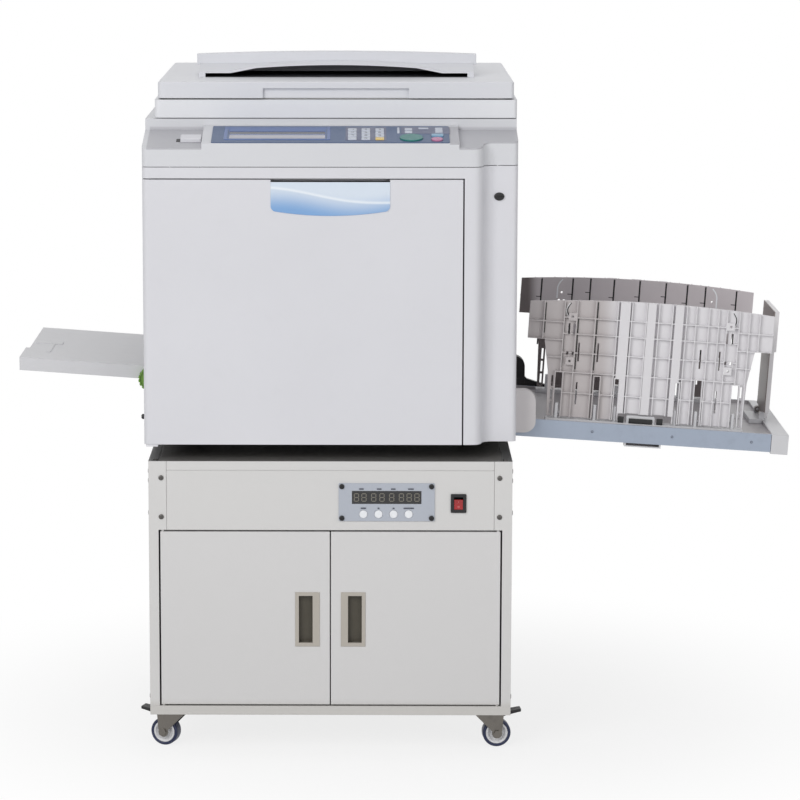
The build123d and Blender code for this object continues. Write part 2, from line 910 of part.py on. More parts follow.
castor_yaws = (castor_yaw_left, castor_yaw_right, 180.0, 0.0)
castor_names = ("front_left", "front_right", "rear_left", "rear_right")
for name, spot, yaw in zip(castor_names, castor_spots, castor_yaws):
    wheel_part = castor_wheel(spot, yaw)
    wheel_part.label = f"castor_wheel_{name}"
    export_step(wheel_part, f"parts/castor_wheel_{name}.step")
for name, spot, yaw in zip(castor_names[:2], castor_spots, castor_yaws):
    fork_part = castor_fork(spot, yaw, True)
    fork_part.label = f"castor_fork_{name}"
    export_step(fork_part, f"parts/castor_fork_{name}.step")
    pedal_part = castor_pedal(spot, yaw)
    pedal_part.label = f"castor_pedal_{name}"
    export_step(pedal_part, f"parts/castor_pedal_{name}.step")
with BuildPart() as castor_mounts:
    add(castor_plates.part)
    for spot, yaw in zip(castor_spots[2:], castor_yaws[2:]):
        add(castor_fork(spot, yaw, False))
castor_mounts.part.label = "castor_mounts"
export_step(castor_mounts.part, "parts/castor_mounts.step")


def body_outline(inset=0.0):
    """Plan of the body's covers, with the hollow step at the front right, drawn smaller by the inset."""
    bend = flute_depth / 2
    with BuildSketch() as plan:
        with BuildLine():
            Polyline((flute_x, 0), (corner_r - half_w, 0))
            RadiusArc((corner_r - half_w, 0), (-half_w, corner_r), corner_r)
            Polyline((-half_w, corner_r), (-half_w, body_d - side_r))
            RadiusArc((-half_w, body_d - side_r), (side_r - half_w, body_d), side_r)
            Polyline((side_r - half_w, body_d), (half_w - side_r, body_d))
            RadiusArc((half_w - side_r, body_d), (half_w, body_d - side_r), side_r)
            Polyline((half_w, body_d - side_r), (half_w, flute_depth + corner_r))
            RadiusArc((half_w, flute_depth + corner_r), (half_w - corner_r, flute_depth), corner_r)
            Polyline((half_w - corner_r, flute_depth), (flute_x + flute_depth, flute_depth))
            RadiusArc((flute_x + flute_depth, flute_depth), (flute_x + bend, bend), -bend)
            RadiusArc((flute_x + bend, bend), (flute_x, 0), bend)
        make_face()
        if inset:
            offset(amount=-inset)
    return plan.sketch


cover_top = seam_z - seam
cover_side = body_outline()
cover_lining = body_outline(wall)
column_x = bay_right + bay_gap
door_low = body_z
door_high = strip_z - cover_gap
cover_axis_x = cover_axis_in - half_w

# Machine frame: base plate on four feet, front and rear plates that carry the drum's shafts
press_z = drum_z - drum_r - nip_gap - press_r
feet = [
    (x, y) for x in (foot_in_x - half_w, half_w - foot_in_x) for y in (foot_in_y, body_d - foot_in_y)
]
with BuildPart() as machine_frame:
    block(-base_half, frame_left, base_front, column_d + 4, body_z, body_z + plate_t)
    block(-base_half, base_half, column_d + 4, body_d - 10, body_z, body_z + plate_t)
    with BuildSketch(level(cabinet_top_z)):
        with Locations(*feet):
            Circle(foot_r)
    extrude(amount=foot_h)
    tab_low = body_z - run_gap - tab_t
    block(tab_in - half_w, hinge_tab - half_w, 2, base_front, tab_low, tab_low + tab_t)
    block(tab_in - half_w, hinge_tab - half_w, base_front, base_front + 16, tab_low, body_z + plate_t)
    with Locations((body_x + cover_axis_x, front_y + cover_axis_back, tab_low)):
        Cylinder(cover_pin_r + fit_gap, 3 * tab_t, mode=Mode.SUBTRACT)
    for y in (frame_front_y, frame_rear_y):
        block(-frame_left, frame_right, y, y + plate_t, body_z + plate_t, seam_z - frame_top_drop)
    with BuildSketch(facing(frame_front_y)):
        with Locations((drum_x, drum_z)):
            Circle(drum_hole_r)
        with Locations((drum_x, press_z)):
            Circle(press_shaft_r + fit_gap)
    extrude(amount=-plate_t, mode=Mode.SUBTRACT)
    with BuildSketch(facing(frame_rear_y)):
        with Locations((drum_x, drum_z)):
            Circle(tube_r)
        with Locations((drum_x, press_z)):
            Circle(press_shaft_r + fit_gap)
    extrude(amount=-plate_t, mode=Mode.SUBTRACT)
machine_frame.part.label = "machine_frame"
export_step(machine_frame.part, "parts/machine_frame.step")

# Front frame: the concave column with its lock, and the strip above the door
with BuildPart() as front_frame:
    with BuildSketch(level(body_z)):
        add(cover_side)
        add(cover_lining, mode=Mode.SUBTRACT)
        span(column_x, half_w, 0, column_d, mode=Mode.INTERSECT)
    extrude(amount=cover_top - body_z)
    with BuildSketch(level(body_z)):
        add(cover_side)
        span(column_x, column_x + wall, 0, column_d, mode=Mode.INTERSECT)
    extrude(amount=cover_top - body_z)
    with BuildSketch(level(body_z)):
        add(cover_side)
        span(column_x, half_w, 0, column_d, mode=Mode.INTERSECT)
    extrude(amount=wall)
    with BuildSketch(level(strip_z)):
        add(cover_side)
        add(cover_lining, mode=Mode.SUBTRACT)
        span(-half_w, column_x + wall, 0, column_d, mode=Mode.INTERSECT)
    extrude(amount=cover_top - strip_z)
    with BuildSketch(level(strip_z)):
        add(cover_side)
        span(-half_w, column_x + wall, 0, column_d - 10, mode=Mode.INTERSECT)
        with Locations((cover_axis_x, cover_axis_back)):
            Circle(cover_pin_r + fit_gap, mode=Mode.SUBTRACT)
    extrude(amount=wall)
    with BuildSketch(facing(flute_depth + wall)):
        with Locations((lock_x, lock_z)):
            Ellipse(lock_w / 2, lock_h / 2)
    extrude(amount=wall + lock_proud)
front_frame.part.label = "front_frame"
export_step(front_frame.part, "parts/front_frame.step")

# Front door: a moulded pan on two pins at its left edge, with a finger slot at the top
with BuildPart() as front_door:
    with BuildSketch(level(door_low)):
        add(cover_side)
        add(cover_lining, mode=Mode.SUBTRACT)
        span(-half_w, bay_right, 0, cover_door_d, mode=Mode.INTERSECT)
    extrude(amount=door_high - door_low)
    for z in (door_low, door_high - wall):
        with BuildSketch(level(z)):
            add(cover_side)
            span(-half_w, bay_right, 0, cover_door_d, mode=Mode.INTERSECT)
        extrude(amount=wall)
    block(bay_right - wall, bay_right, 0, cover_door_d, door_low, door_high)
    slot_half = plaque_w / 2
    slot_low = door_high - finger_slot_h
    block(-slot_half, slot_half, 0, finger_slot_d, slot_low, door_high, mode=Mode.SUBTRACT)
    for z in (door_low - run_gap - tab_t, door_high - wall):
        with Locations((body_x + cover_axis_x, front_y + cover_axis_back, z)):
            Cylinder(
                cover_pin_r,
                2 * wall + cover_gap,
                align=(Align.CENTER, Align.CENTER, Align.MIN),
            )
front_door.part.label = "front_door"
export_step(front_door.part, "parts/front_door.step")

# Name plaque of the door, left bare: square above, bowed below
with BuildPart() as door_plaque:
    with BuildSketch(facing(0)):
        with BuildLine():
            Polyline(
                (-slot_half, slot_low - plaque_side),
                (-slot_half, slot_low),
                (slot_half, slot_low),
                (slot_half, slot_low - plaque_side),
            )
            RadiusArc((slot_half, slot_low - plaque_side), (slot_half - 10, slot_low - plaque_side - 9), 10)
            ThreePointArc(
                (slot_half - 10, slot_low - plaque_side - 9),
                (0, slot_low - plaque_h),
                (10 - slot_half, slot_low - plaque_side - 9),
            )
            RadiusArc((10 - slot_half, slot_low - plaque_side - 9), (-slot_half, slot_low - plaque_side), 10)
        make_face()
    extrude(amount=plaque_t)
door_plaque.part.label = "door_plaque"
export_step(door_plaque.part, "parts/door_plaque.step")

# Left cover, with the recess that the feed tray rides in
recess_x = recess_d - half_w
recess_in = recess_x - wall
arm_y = [feed_y + feed_arm_in, feed_y + feed_d - feed_arm_in]
plate_end = recess_in - 2.5
with BuildPart() as left_cover:
    with BuildSketch(level(body_z)):
        add(cover_side)
        add(cover_lining, mode=Mode.SUBTRACT)
        span(-half_w, side_r - half_w, base_front - cover_gap, body_d, mode=Mode.INTERSECT)
    extrude(amount=cover_top - body_z)
    behind_strip = (base_front - cover_gap, column_d + cover_gap, strip_z - cover_gap, cover_top)
    block(-half_w, side_r - half_w, *behind_strip, mode=Mode.SUBTRACT)
    block(-half_w, recess_x, recess_y0, recess_y1, recess_z0, recess_z1)
    hollow = (recess_y0 + wall, recess_y1 - wall, recess_z0 + wall, recess_z1 - wall)
    block(-half_w - 1, recess_in, *hollow, mode=Mode.SUBTRACT)
    arm_low = feed_z - feed_arm_l
    for y in arm_y:
        low, high = y - feed_arm_w / 2 - feed_arm_gap, y + feed_arm_w / 2 + feed_arm_gap
        block(recess_in, recess_x, low, high, arm_low, feed_z + feed_travel, mode=Mode.SUBTRACT)
    with BuildSketch(facing(recess_y0)):
        with Locations((pickup_x, pickup_z)):
            Circle(pickup_shaft_r + fit_gap)
    extrude(amount=recess_y0 - recess_y1, mode=Mode.SUBTRACT)
left_cover.part.label = "left_cover"
export_step(left_cover.part, "parts/left_cover.step")

# Right cover, with the opening that the printed sheets leave through
exit_x = half_w - exit_d
with BuildPart() as right_cover:
    with BuildSketch(level(body_z)):
        add(cover_side)
        add(cover_lining, mode=Mode.SUBTRACT)
        span(half_w - side_r, half_w, column_d + cover_gap, body_d, mode=Mode.INTERSECT)
    extrude(amount=cover_top - body_z)
    block(exit_x, half_w, exit_y0, exit_y1, exit_z0, exit_z1)
    hollow = (exit_y0 + wall, exit_y1 - wall, exit_z0 + wall, exit_z1 - wall)
    block(exit_x + wall, half_w + 1, *hollow, mode=Mode.SUBTRACT)
    block(
        exit_x,
        exit_x + wall,
        paper_y - slot_w / 2,
        paper_y + slot_w / 2,
        slot_z,
        slot_z + slot_h,
        mode=Mode.SUBTRACT,
    )
right_cover.part.label = "right_cover"
export_step(right_cover.part, "parts/right_cover.step")

# Rear cover with two fields of vent slots and a power inlet
rear_half = half_w - side_r - cover_gap
with BuildPart() as rear_cover:
    block(-rear_half, rear_half, body_d - wall, body_d, body_z, cover_top)
    with BuildSketch(facing(body_d - wall)):
        for x in (-vent_x, vent_x):
            with Locations((x, vent_z)):
                with GridLocations(vent_l + 14, vent_pitch, 1, vent_count):
                    Rectangle(vent_l, vent_w)
    extrude(amount=-wall, mode=Mode.SUBTRACT)
    block(inlet_x - 24, inlet_x + 24, body_d - 26, body_d, inlet_z - 15, inlet_z + 15)
    block(inlet_x - 21, inlet_x + 21, body_d - 22, body_d, inlet_z - 12, inlet_z + 12, mode=Mode.SUBTRACT)
    with BuildSketch(facing(body_d - 22)):
        with Locations((inlet_x - 8, inlet_z), (inlet_x, inlet_z + 4), (inlet_x + 8, inlet_z)):
            Rectangle(2.2, 5)
    extrude(amount=-14)
rear_cover.part.label = "rear_cover"
export_step(rear_cover.part, "parts/rear_cover.step")

deck_slope = (deck_back_h - deck_front_h) / deck_d
slope_angle = degrees(atan2(deck_back_h - deck_front_h, deck_d))


def cover_block(inset):
    """Block of the top cover: sloping front deck, then the flat deck under the scanner."""
    with BuildPart() as form:
        with BuildSketch(level(seam_z)):
            add(body_outline(inset))
        extrude(amount=deck_top_h)
        with BuildSketch(side(-half_w)):
            with BuildLine():
                Polyline(
                    (0, seam_z),
                    (0, seam_z + deck_front_h - inset),
                    (deck_d + inset, seam_z + deck_back_h - inset + inset * deck_slope),
                    (deck_d + inset, deck_z - inset),
                    (body_d, deck_z - inset),
                    (body_d, seam_z),
                    close=True,
                )
            make_face()
        extrude(amount=body_w, mode=Mode.INTERSECT)
    return form.part


panel_x = (console_right - console_left) / 2
slope = radians(slope_angle)
console_plane = Plane(
    origin=(body_x, front_y, seam_z + deck_front_h + console_rise),
    x_dir=(1, 0, 0),
    z_dir=(0, -sin(slope), cos(slope)),
)
lever_plane = Plane(
    origin=(body_x, front_y, seam_z + deck_front_h), x_dir=(1, 0, 0), z_dir=(0, -sin(slope), cos(slope))
)
lever_v = lever_y / cos(slope)
panel_v = panel_in + panel_d / 2

# Top cover: the console stands on its sloping deck, two rails for the scanner on its flat one
with BuildPart() as top_cover:
    add(cover_block(0.0))
    add(cover_block(wall), mode=Mode.SUBTRACT)
    with BuildSketch(side(-console_left)):
        with BuildLine():
            Polyline(
                (0, seam_z + deck_front_h - wall),
                (0, seam_z + deck_front_h + console_rise),
                (deck_d, seam_z + deck_back_h + console_rise),
                (deck_d, seam_z + deck_back_h - wall),
                close=True,
            )
        make_face()
    extrude(amount=console_left + console_right)
    with BuildSketch(console_plane):
        with Locations((panel_x, panel_v)):
            Rectangle(panel_w - 6, panel_d - 6)
    extrude(amount=-key_well, mode=Mode.SUBTRACT)
    with BuildSketch(lever_plane):
        with Locations((lever_x - lever_travel / 2, lever_v)):
            Rectangle(lever_tongue + lever_travel + 1.0, lever_tongue + 1.0)
    extrude(amount=-2 * wall, mode=Mode.SUBTRACT)
    for y in (rail_front_y, rail_rear_y):
        block(-rail_half, rail_half, y - rail_w / 2, y + rail_w / 2, deck_z, deck_z + rail_h)
top_cover.part.label = "top_cover"
export_step(top_cover.part, "parts/top_cover.step")

# Control panel with the display's window and the holes for its three keys
with BuildPart() as control_panel:
    with BuildSketch(console_plane):
        with Locations((panel_x, panel_v)):
            RectangleRounded(panel_w, panel_d, panel_r)
        with Locations((screen_x, screen_v)):
            Rectangle(window_w, window_d, mode=Mode.SUBTRACT)
        with Locations((start_x, start_v)):
            Circle(start_r + button_gap, mode=Mode.SUBTRACT)
        with Locations((proof_x, proof_v)):
            RectangleRounded(proof_w + 2 * button_gap, proof_d + 2 * button_gap, 3.0, mode=Mode.SUBTRACT)
        with Locations((stop_x, stop_v)):
            Circle(stop_r + button_gap, mode=Mode.SUBTRACT)
    extrude(amount=panel_t)
control_panel.part.label = "control_panel"
export_step(control_panel.part, "parts/control_panel.step")

# LCD, a slab under the panel's window
with BuildPart() as lcd_screen:
    with BuildSketch(console_plane):
        with Locations((screen_x, screen_v)):
            Rectangle(window_w + 8, window_d + 8)
    extrude(amount=-screen_t)
lcd_screen.part.label = "lcd_screen"
export_step(lcd_screen.part, "parts/lcd_screen.step")


def panel_key(cap, foot):
    """Key of the control panel: a cap through the panel and a flange that stops under it."""
    with BuildPart() as key:
        with BuildSketch(console_plane.offset(-button_gap)):
            add(cap)
        extrude(amount=panel_t + key_proud + button_gap)
        chamfer(key.faces().sort_by(Axis.Z)[-1].edges(), 0.8)
        with BuildSketch(console_plane.offset(-button_gap)):
            add(foot)
        extrude(amount=-key_flange_t)
    return key.part


key_shapes = []
for grow in (0.0, key_flange):
    with BuildSketch() as start_shape:
        with Locations((start_x, start_v)):
            Circle(start_r + grow)
    with BuildSketch() as proof_shape:
        with Locations((proof_x, proof_v)):
            RectangleRounded(proof_w + 2 * grow, proof_d + 2 * grow, 3.0)
    with BuildSketch() as stop_shape:
        with Locations((stop_x, stop_v)):
            Circle(stop_r + grow)
    key_shapes.append((start_shape.sketch, proof_shape.sketch, stop_shape.sketch))
for name, cap, foot in zip(("start_key", "proof_key", "stop_key"), *key_shapes):
    key_part = panel_key(cap, foot)
    key_part.label = name
    export_step(key_part, f"parts/{name}.step")

# Lever that frees the scanner: a ridged cap on the left deck with a tongue through its slot
with BuildPart() as release_lever:
    with BuildSketch(lever_plane.offset(run_gap)):
        with Locations((lever_x, lever_v)):
            RectangleRounded(lever_w, lever_l, 2.0)
    extrude(amount=lever_h)
    chamfer(release_lever.faces().sort_by(Axis.Z)[-1].edges(), 1.0)
    with BuildSketch(lever_plane.offset(run_gap)):
        with Locations((lever_x, lever_v)):
            Rectangle(lever_tongue, lever_tongue)
    extrude(amount=-2 * wall)
release_lever.part.label = "release_lever"
export_step(release_lever.part, "parts/release_lever.step")

# Scanner housing: channels for the rails below, the glass's recess above, hinge lugs behind
scan_left, scan_right = scan_x - scan_w / 2, scan_x + scan_w / 2
lid_axis_z = lid_z + lid_axis_up
with BuildPart() as scanner_housing:
    block(scan_left, scan_right, deck_d, scan_rear_y, scan_z, scan_top)
    fillet(scanner_housing.edges().filter_by(Axis.Z), scan_r)
    for y in (rail_front_y, rail_rear_y):
        half = rail_w / 2 + run_gap
        channel = (y - half, y + half, scan_z, deck_z + rail_h + run_gap)
        block(scan_left, scan_right, *channel, mode=Mode.SUBTRACT)
    glass_box = (scan_x - glass_w / 2, scan_x + glass_w / 2, glass_y - glass_d / 2, glass_y + glass_d / 2)
    block(*glass_box, scan_top - glass_t, scan_top, mode=Mode.SUBTRACT)
    with Locations((body_x + scan_x, front_y + glass_y, scan_top - glass_t - optics_d / 2)):
        Box(glass_w - 2 * glass_ledge, glass_d - 2 * glass_ledge, optics_d, mode=Mode.SUBTRACT)
    for x in (scan_x - lid_lug_x, scan_x + lid_lug_x):
        with BuildSketch(side(x - lid_lug_w / 2)):
            with Locations((lid_axis_y, lid_axis_z)):
                Circle(lid_lug_r)
            span(scan_rear_y - 4, lid_axis_y, lid_axis_z - 12, lid_axis_z)
            with Locations((lid_axis_y, lid_axis_z)):
                Circle(lid_pin_r + fit_gap, mode=Mode.SUBTRACT)
        extrude(amount=lid_lug_w)
scanner_housing.part.label = "scanner_housing"
export_step(scanner_housing.part, "parts/scanner_housing.step")

# Platen glass
with BuildPart() as platen_glass:
    block(*glass_box, scan_top - glass_t, scan_top)
platen_glass.part.label = "platen_glass"
export_step(platen_glass.part, "parts/platen_glass.step")

# Platen cover: a shell with a grip recess in front, posts for the pad and pins at the back
lid_left, lid_right = scan_x - lid_w / 2, scan_x + lid_w / 2
lid_front = deck_d + lid_front_in
pad_z = scan_top + pad_gap
with BuildPart() as platen_cover:
    block(lid_left, lid_right, lid_front, lid_rear_y, lid_z, lid_top)
    fillet(platen_cover.edges().filter_by(Axis.Z), lid_r)
    chamfer(platen_cover.faces().sort_by(Axis.Z)[-1].edges(), lid_edge_r)
    inside = (lid_left + wall, lid_right - wall, lid_front + wall, lid_rear_y - wall)
    block(*inside, lid_z, lid_top - wall, mode=Mode.SUBTRACT)
    grip = (scan_x - grip_w / 2, scan_x + grip_w / 2)
    pocket = (lid_front + 1, lid_front + grip_d + wall, lid_z, lid_z + grip_h + wall)
    block(grip[0] - wall, grip[1] + wall, *pocket)
    block(*grip, lid_front, lid_front + grip_d, lid_z, lid_z + grip_h, mode=Mode.SUBTRACT)
    for x in (scan_x - lid_lug_x, scan_x + lid_lug_x):
        half = lid_lug_w / 2 + run_gap
        notch = (lid_rear_y - wall, lid_rear_y, lid_z, lid_axis_z + 9)
        block(x - half, x + half, *notch, mode=Mode.SUBTRACT)
        for edge in (x - half - lid_rib, x + half):
            block(edge, edge + lid_rib, lid_axis_y - 6, lid_rear_y - 1, lid_axis_z - 3, lid_top - 1)
        with Locations((body_x + x, front_y + lid_axis_y, lid_axis_z)):
            Cylinder(lid_pin_r, lid_lug_w + 2 * lid_rib, rotation=(0, 90, 0))
    with BuildSketch(level(pad_z + pad_t)):
        with Locations((scan_x, (lid_front + lid_rear_y) / 2 - 12)):
            with GridLocations(lid_post_x, lid_post_y, 3, 3):
                Rectangle(lid_post, lid_post)
    extrude(amount=lid_top - wall - pad_z - pad_t)
platen_cover.part.label = "platen_cover"
export_step(platen_cover.part, "parts/platen_cover.step")

# Pad under the platen cover
with BuildPart() as platen_pad:
    pad_depth = (lid_front + pad_in, lid_rear_y - 2 * pad_in)
    block(lid_left + pad_in, lid_right - pad_in, *pad_depth, pad_z, pad_z + pad_t)
platen_pad.part.label = "platen_pad"
export_step(platen_pad.part, "parts/platen_pad.step")


def pocket_plane(y):
    """Upright plane across the pocket at y; its x runs right from the middle, its y up."""
    return Plane(origin=(body_x + scan_x, front_y + y, lid_top), x_dir=(1, 0, 0), z_dir=(0, -1, 0))


def arch(half, end_h, flat, rise):
    """Upright face seen from the front: straight ends, a ramp on each side and an arch between."""
    ramp_x = half - flat - pocket_ramp_w
    ramp_top = end_h + pocket_ramp_h
    with BuildSketch() as face:
        with BuildLine():
            Polyline(
                (-ramp_x, ramp_top),
                (flat - half, end_h),
                (-half, end_h),
                (-half, 0),
                (half, 0),
                (half, end_h),
                (half - flat, end_h),
                (ramp_x, ramp_top),
            )
            ThreePointArc((ramp_x, ramp_top), (0, rise), (-ramp_x, ramp_top))
        make_face()
    return face.sketch


# Pocket for originals: a low arched hood with a raised lip, open to the front
with BuildPart() as cover_pocket:
    with BuildSketch(side(scan_x - pocket_w / 2 + pocket_side_in)):
        with BuildLine():
            Polyline(
                (pocket_front_y, lid_top),
                (pocket_front_y, lid_top + pocket_nose_h),
                (pocket_lip_y, lid_top + pocket_slope_h),
                (pocket_lip_y + pocket_lip_d, lid_top + pocket_slope_h),
                (pocket_rear_y, lid_top + pocket_rear_h),
                (pocket_rear_y, lid_top),
                close=True,
            )
        make_face()
    extrude(amount=pocket_w - 2 * pocket_side_in)
    hood_h = pocket_arch_h + pocket_roof
    rise = (pocket_hood_h - hood_h) / (pocket_lip_y - pocket_front_y)
    with BuildSketch(pocket_plane(pocket_front_y)):
        add(arch(pocket_mouth_w / 2 + 6, pocket_nose_h, pocket_arch_flat, hood_h))
    extrude(amount=pocket_lip_y - pocket_front_y + 8, dir=(0, 1, rise))
    with BuildSketch(pocket_plane(pocket_lip_y)):
        with BuildLine():
            Polyline(
                (-pocket_w / 2, pocket_lip_h),
                (-pocket_w / 2, pocket_lip_low),
                (pocket_w / 2, pocket_lip_low),
                (pocket_w / 2, pocket_lip_h),
            )
            ThreePointArc(
                (pocket_w / 2, pocket_lip_h),
                (0, pocket_lip_h + pocket_lip_crown),
                (-pocket_w / 2, pocket_lip_h),
            )
        make_face()
    extrude(amount=-pocket_lip_d)
    with BuildSketch(pocket_plane(pocket_front_y)):
        add(arch(pocket_mouth_w / 2, pocket_end_h, pocket_arch_flat, pocket_arch_h))
    extrude(amount=-(pocket_lip_y - pocket_front_y), mode=Mode.SUBTRACT)
    mouth_half = pocket_mouth_w / 2
    tunnel = (pocket_front_y, pocket_front_y + pocket_depth, lid_top, lid_top + pocket_end_h)
    block(scan_x - mouth_half, scan_x + mouth_half, *tunnel, mode=Mode.SUBTRACT)
cover_pocket.part.label = "cover_pocket"
export_step(cover_pocket.part, "parts/cover_pocket.step")

# Drum carriage: a disc with a handle on the front plate, and the ink tube that the drum turns on
drum_y0, drum_y1 = paper_y - drum_l / 2, paper_y + drum_l / 2
with BuildPart() as drum_carriage:
    with BuildSketch(facing(frame_front_y)):
        with Locations((drum_x, drum_z)):
            Circle(drum_plate_r)
    extrude(amount=drum_plate_t)
    with BuildSketch(facing(frame_front_y)):
        with Locations((drum_x, drum_z)):
            Circle(tube_r)
    extrude(amount=frame_front_y - frame_rear_y - plate_t)
    with BuildSketch(facing(frame_front_y + plate_t)):
        with Locations((drum_x, drum_z)):
            Circle(tube_r - wall)
    extrude(amount=frame_front_y - frame_rear_y, mode=Mode.SUBTRACT)
    grip_y = frame_front_y - drum_plate_t
    half = handle_w / 2
    grip_z = (drum_z - handle_h / 2, drum_z + handle_h / 2)
    block(drum_x - half, drum_x + half, grip_y - handle_d, grip_y - handle_d + 10, *grip_z)
    for x in (drum_x - half, drum_x + half - 10):
        block(x, x + 10, grip_y - handle_d, grip_y, *grip_z)
drum_carriage.part.label = "drum_carriage"
export_step(drum_carriage.part, "parts/drum_carriage.step")

# Drum screen: a thin cylinder with an end plate and a hub on each side, running on the ink tube
with BuildPart() as drum_screen:
    with BuildSketch(facing(drum_y0)):
        with Locations((drum_x, drum_z)):
            Circle(drum_r)
            Circle(drum_r - drum_wall, mode=Mode.SUBTRACT)
    extrude(amount=-drum_l)
    for y, hub in ((drum_y0, -hub_l), (drum_y1, hub_l)):
        with BuildSketch(facing(y)):
            with Locations((drum_x, drum_z)):
                Circle(drum_r - 1)
        extrude(amount=hub / 3)
        with BuildSketch(facing(y)):
            with Locations((drum_x, drum_z)):
                Circle(2 * tube_r)
        extrude(amount=hub)
    with BuildSketch(facing(drum_y0)):
        with Locations((drum_x, drum_z)):
            Circle(tube_r + fit_gap)
    extrude(amount=-drum_l, mode=Mode.SUBTRACT)
drum_screen.part.label = "drum_screen"
export_step(drum_screen.part, "parts/drum_screen.step")

# Pressure cylinder on its shaft, under the drum
with BuildPart() as pressure_cylinder:
    with BuildSketch(facing(drum_y0)):
        with Locations((drum_x, press_z)):
            Circle(press_r)
    extrude(amount=-drum_l)
    with BuildSketch(facing(frame_front_y - 2)):
        with Locations((drum_x, press_z)):
            Circle(press_shaft_r)
    extrude(amount=frame_front_y - frame_rear_y - plate_t - 4)
pressure_cylinder.part.label = "pressure_cylinder"
export_step(pressure_cylinder.part, "parts/pressure_cylinder.step")

# Pickup roller on its shaft, over the feed tray's inner end
with BuildPart() as pickup_roller:
    with BuildSketch(facing(paper_y - pickup_l / 2)):
        with Locations((pickup_x, pickup_z)):
            Circle(pickup_r)
    extrude(amount=-pickup_l)
    with BuildSketch(facing(recess_y0 - 2)):
        with Locations((pickup_x, pickup_z)):
            Circle(pickup_shaft_r)
    extrude(amount=recess_y0 - recess_y1 - 4)
pickup_roller.part.label = "pickup_roller"
export_step(pickup_roller.part, "parts/pickup_roller.step")

feed_rise = tan(radians(feed_slope))


def feed_slice(y, depth, x_in, x_out, down, low):
    """Sloping slab of the feed tray between two depths under its top, set back from the front."""
    with BuildPart() as piece:
        with BuildSketch(facing(y)):
            with BuildLine():
                Polyline(
                    *[
                        (x, feed_z + (-half_w - x) * feed_rise - drop)
                        for x, drop in ((x_in, down), (x_out, down), (x_out, low), (x_in, low))
                    ],
                    close=True,
                )
            make_face()
        extrude(amount=-depth)
    return piece.part


# Feed tray: a sloping pan with a skirt round it and two arms that reach to the lift
feed_out = -feed_reach
feed_far = -feed_reach + feed_notch
knob_y = feed_y - run_gap - knob_t
with BuildPart() as feed_tray:
    add(feed_slice(feed_y, feed_d, plate_end, feed_far, 0, feed_rail_h))
    add(feed_slice(feed_y, feed_step_y - feed_y, plate_end, feed_out, 0, feed_rail_h))
    inner_d = feed_d - 2 * feed_plate_t
    in_end = plate_end - feed_plate_t
    hollow = (in_end, feed_far + feed_plate_t, feed_plate_t, feed_rail_h)
    add(feed_slice(feed_y + feed_plate_t, inner_d, *hollow), mode=Mode.SUBTRACT)
    for y in arm_y:
        reach = (plate_end + feed_arm_l, in_end, feed_plate_t, feed_arm_l / 2)
        add(feed_slice(y - feed_arm_w / 2, feed_arm_w, *reach))
    block(knob_x - 13, knob_x + 13, feed_y, feed_y + feed_plate_t, knob_z - 11, knob_z + 11)
    with BuildSketch(facing(feed_y)):
        with Locations((knob_x, knob_z)):
            Circle(knob_stem_r + fit_gap)
    extrude(amount=-feed_plate_t, mode=Mode.SUBTRACT)
feed_tray.part.label = "feed_tray"
export_step(feed_tray.part, "parts/feed_tray.step")

# Turn knob in front of the feed tray: a grooved grip and a stem with its retaining head
with BuildPart() as side_shift_knob:
    with BuildSketch(facing(knob_y + knob_t)):
        with Locations((knob_x, knob_z)):
            Circle(knob_r)
            with PolarLocations(knob_r, knob_grooves):
                Rectangle(2 * knob_groove_r, 2 * knob_groove_r, mode=Mode.SUBTRACT)
    extrude(amount=knob_t)
    with BuildSketch(facing(knob_y)):
        with Locations((knob_x, knob_z)):
            Circle(knob_r - 2 * knob_groove_r)
            Circle(knob_r - 2 * knob_groove_r - 8, mode=Mode.SUBTRACT)
    extrude(amount=-knob_dish, mode=Mode.SUBTRACT)
    with BuildSketch(facing(knob_y + knob_t)):
        with Locations((knob_x, knob_z)):
            Circle(knob_stem_r)
    extrude(amount=-feed_plate_t - 2 * run_gap - 3)
    with BuildSketch(facing(feed_y + feed_plate_t + run_gap)):
        with Locations((knob_x, knob_z)):
            Circle(knob_stem_r + 3)
    extrude(amount=-3)
side_shift_knob.part.label = "side_shift_knob"
export_step(side_shift_knob.part, "parts/side_shift_knob.step")

# Frame of the delivery tray: along the tray, across it, and square to its top
fall = radians(tray_slope)
tray_dir = (cos(fall), 0, -sin(fall))
tray_up = (sin(fall), 0, cos(fall))
tray_frame = Plane(origin=(body_x + half_w, front_y, tray_z), x_dir=tray_dir, z_dir=tray_up)
tray_l = (delivery_reach - half_w) / cos(fall)
tray_far = tray_y + tray_d
mid_plane = Plane(origin=(body_x, front_y + paper_y, 0), z_dir=(0, -1, 0))


def slab(a0, a1, y0, y1, h0, h1, mode=Mode.ADD):
    """Box in the delivery tray's frame: along the tray, across it, up from its strips' top."""
    centre = ((a0 + a1) / 2, (y0 + y1) / 2, (h0 + h1) / 2)
    with Locations(tray_frame.location * Pos(*centre)):
        Box(a1 - a0, y1 - y0, h1 - h0, mode=mode)


def tray_front(y):
    """Upright plane along the tray at the given depth, facing the front."""
    return Plane(
        origin=tray_frame.from_local_coords((guide_mid, y, 0)), x_dir=tray_dir, z_dir=(0, -1, 0)
    )


def tray_end(a):
    """Plane across the tray at the given reach, facing outward."""
    return Plane(origin=tray_frame.from_local_coords((a, 0, 0)), x_dir=(0, 1, 0), z_dir=tray_dir)


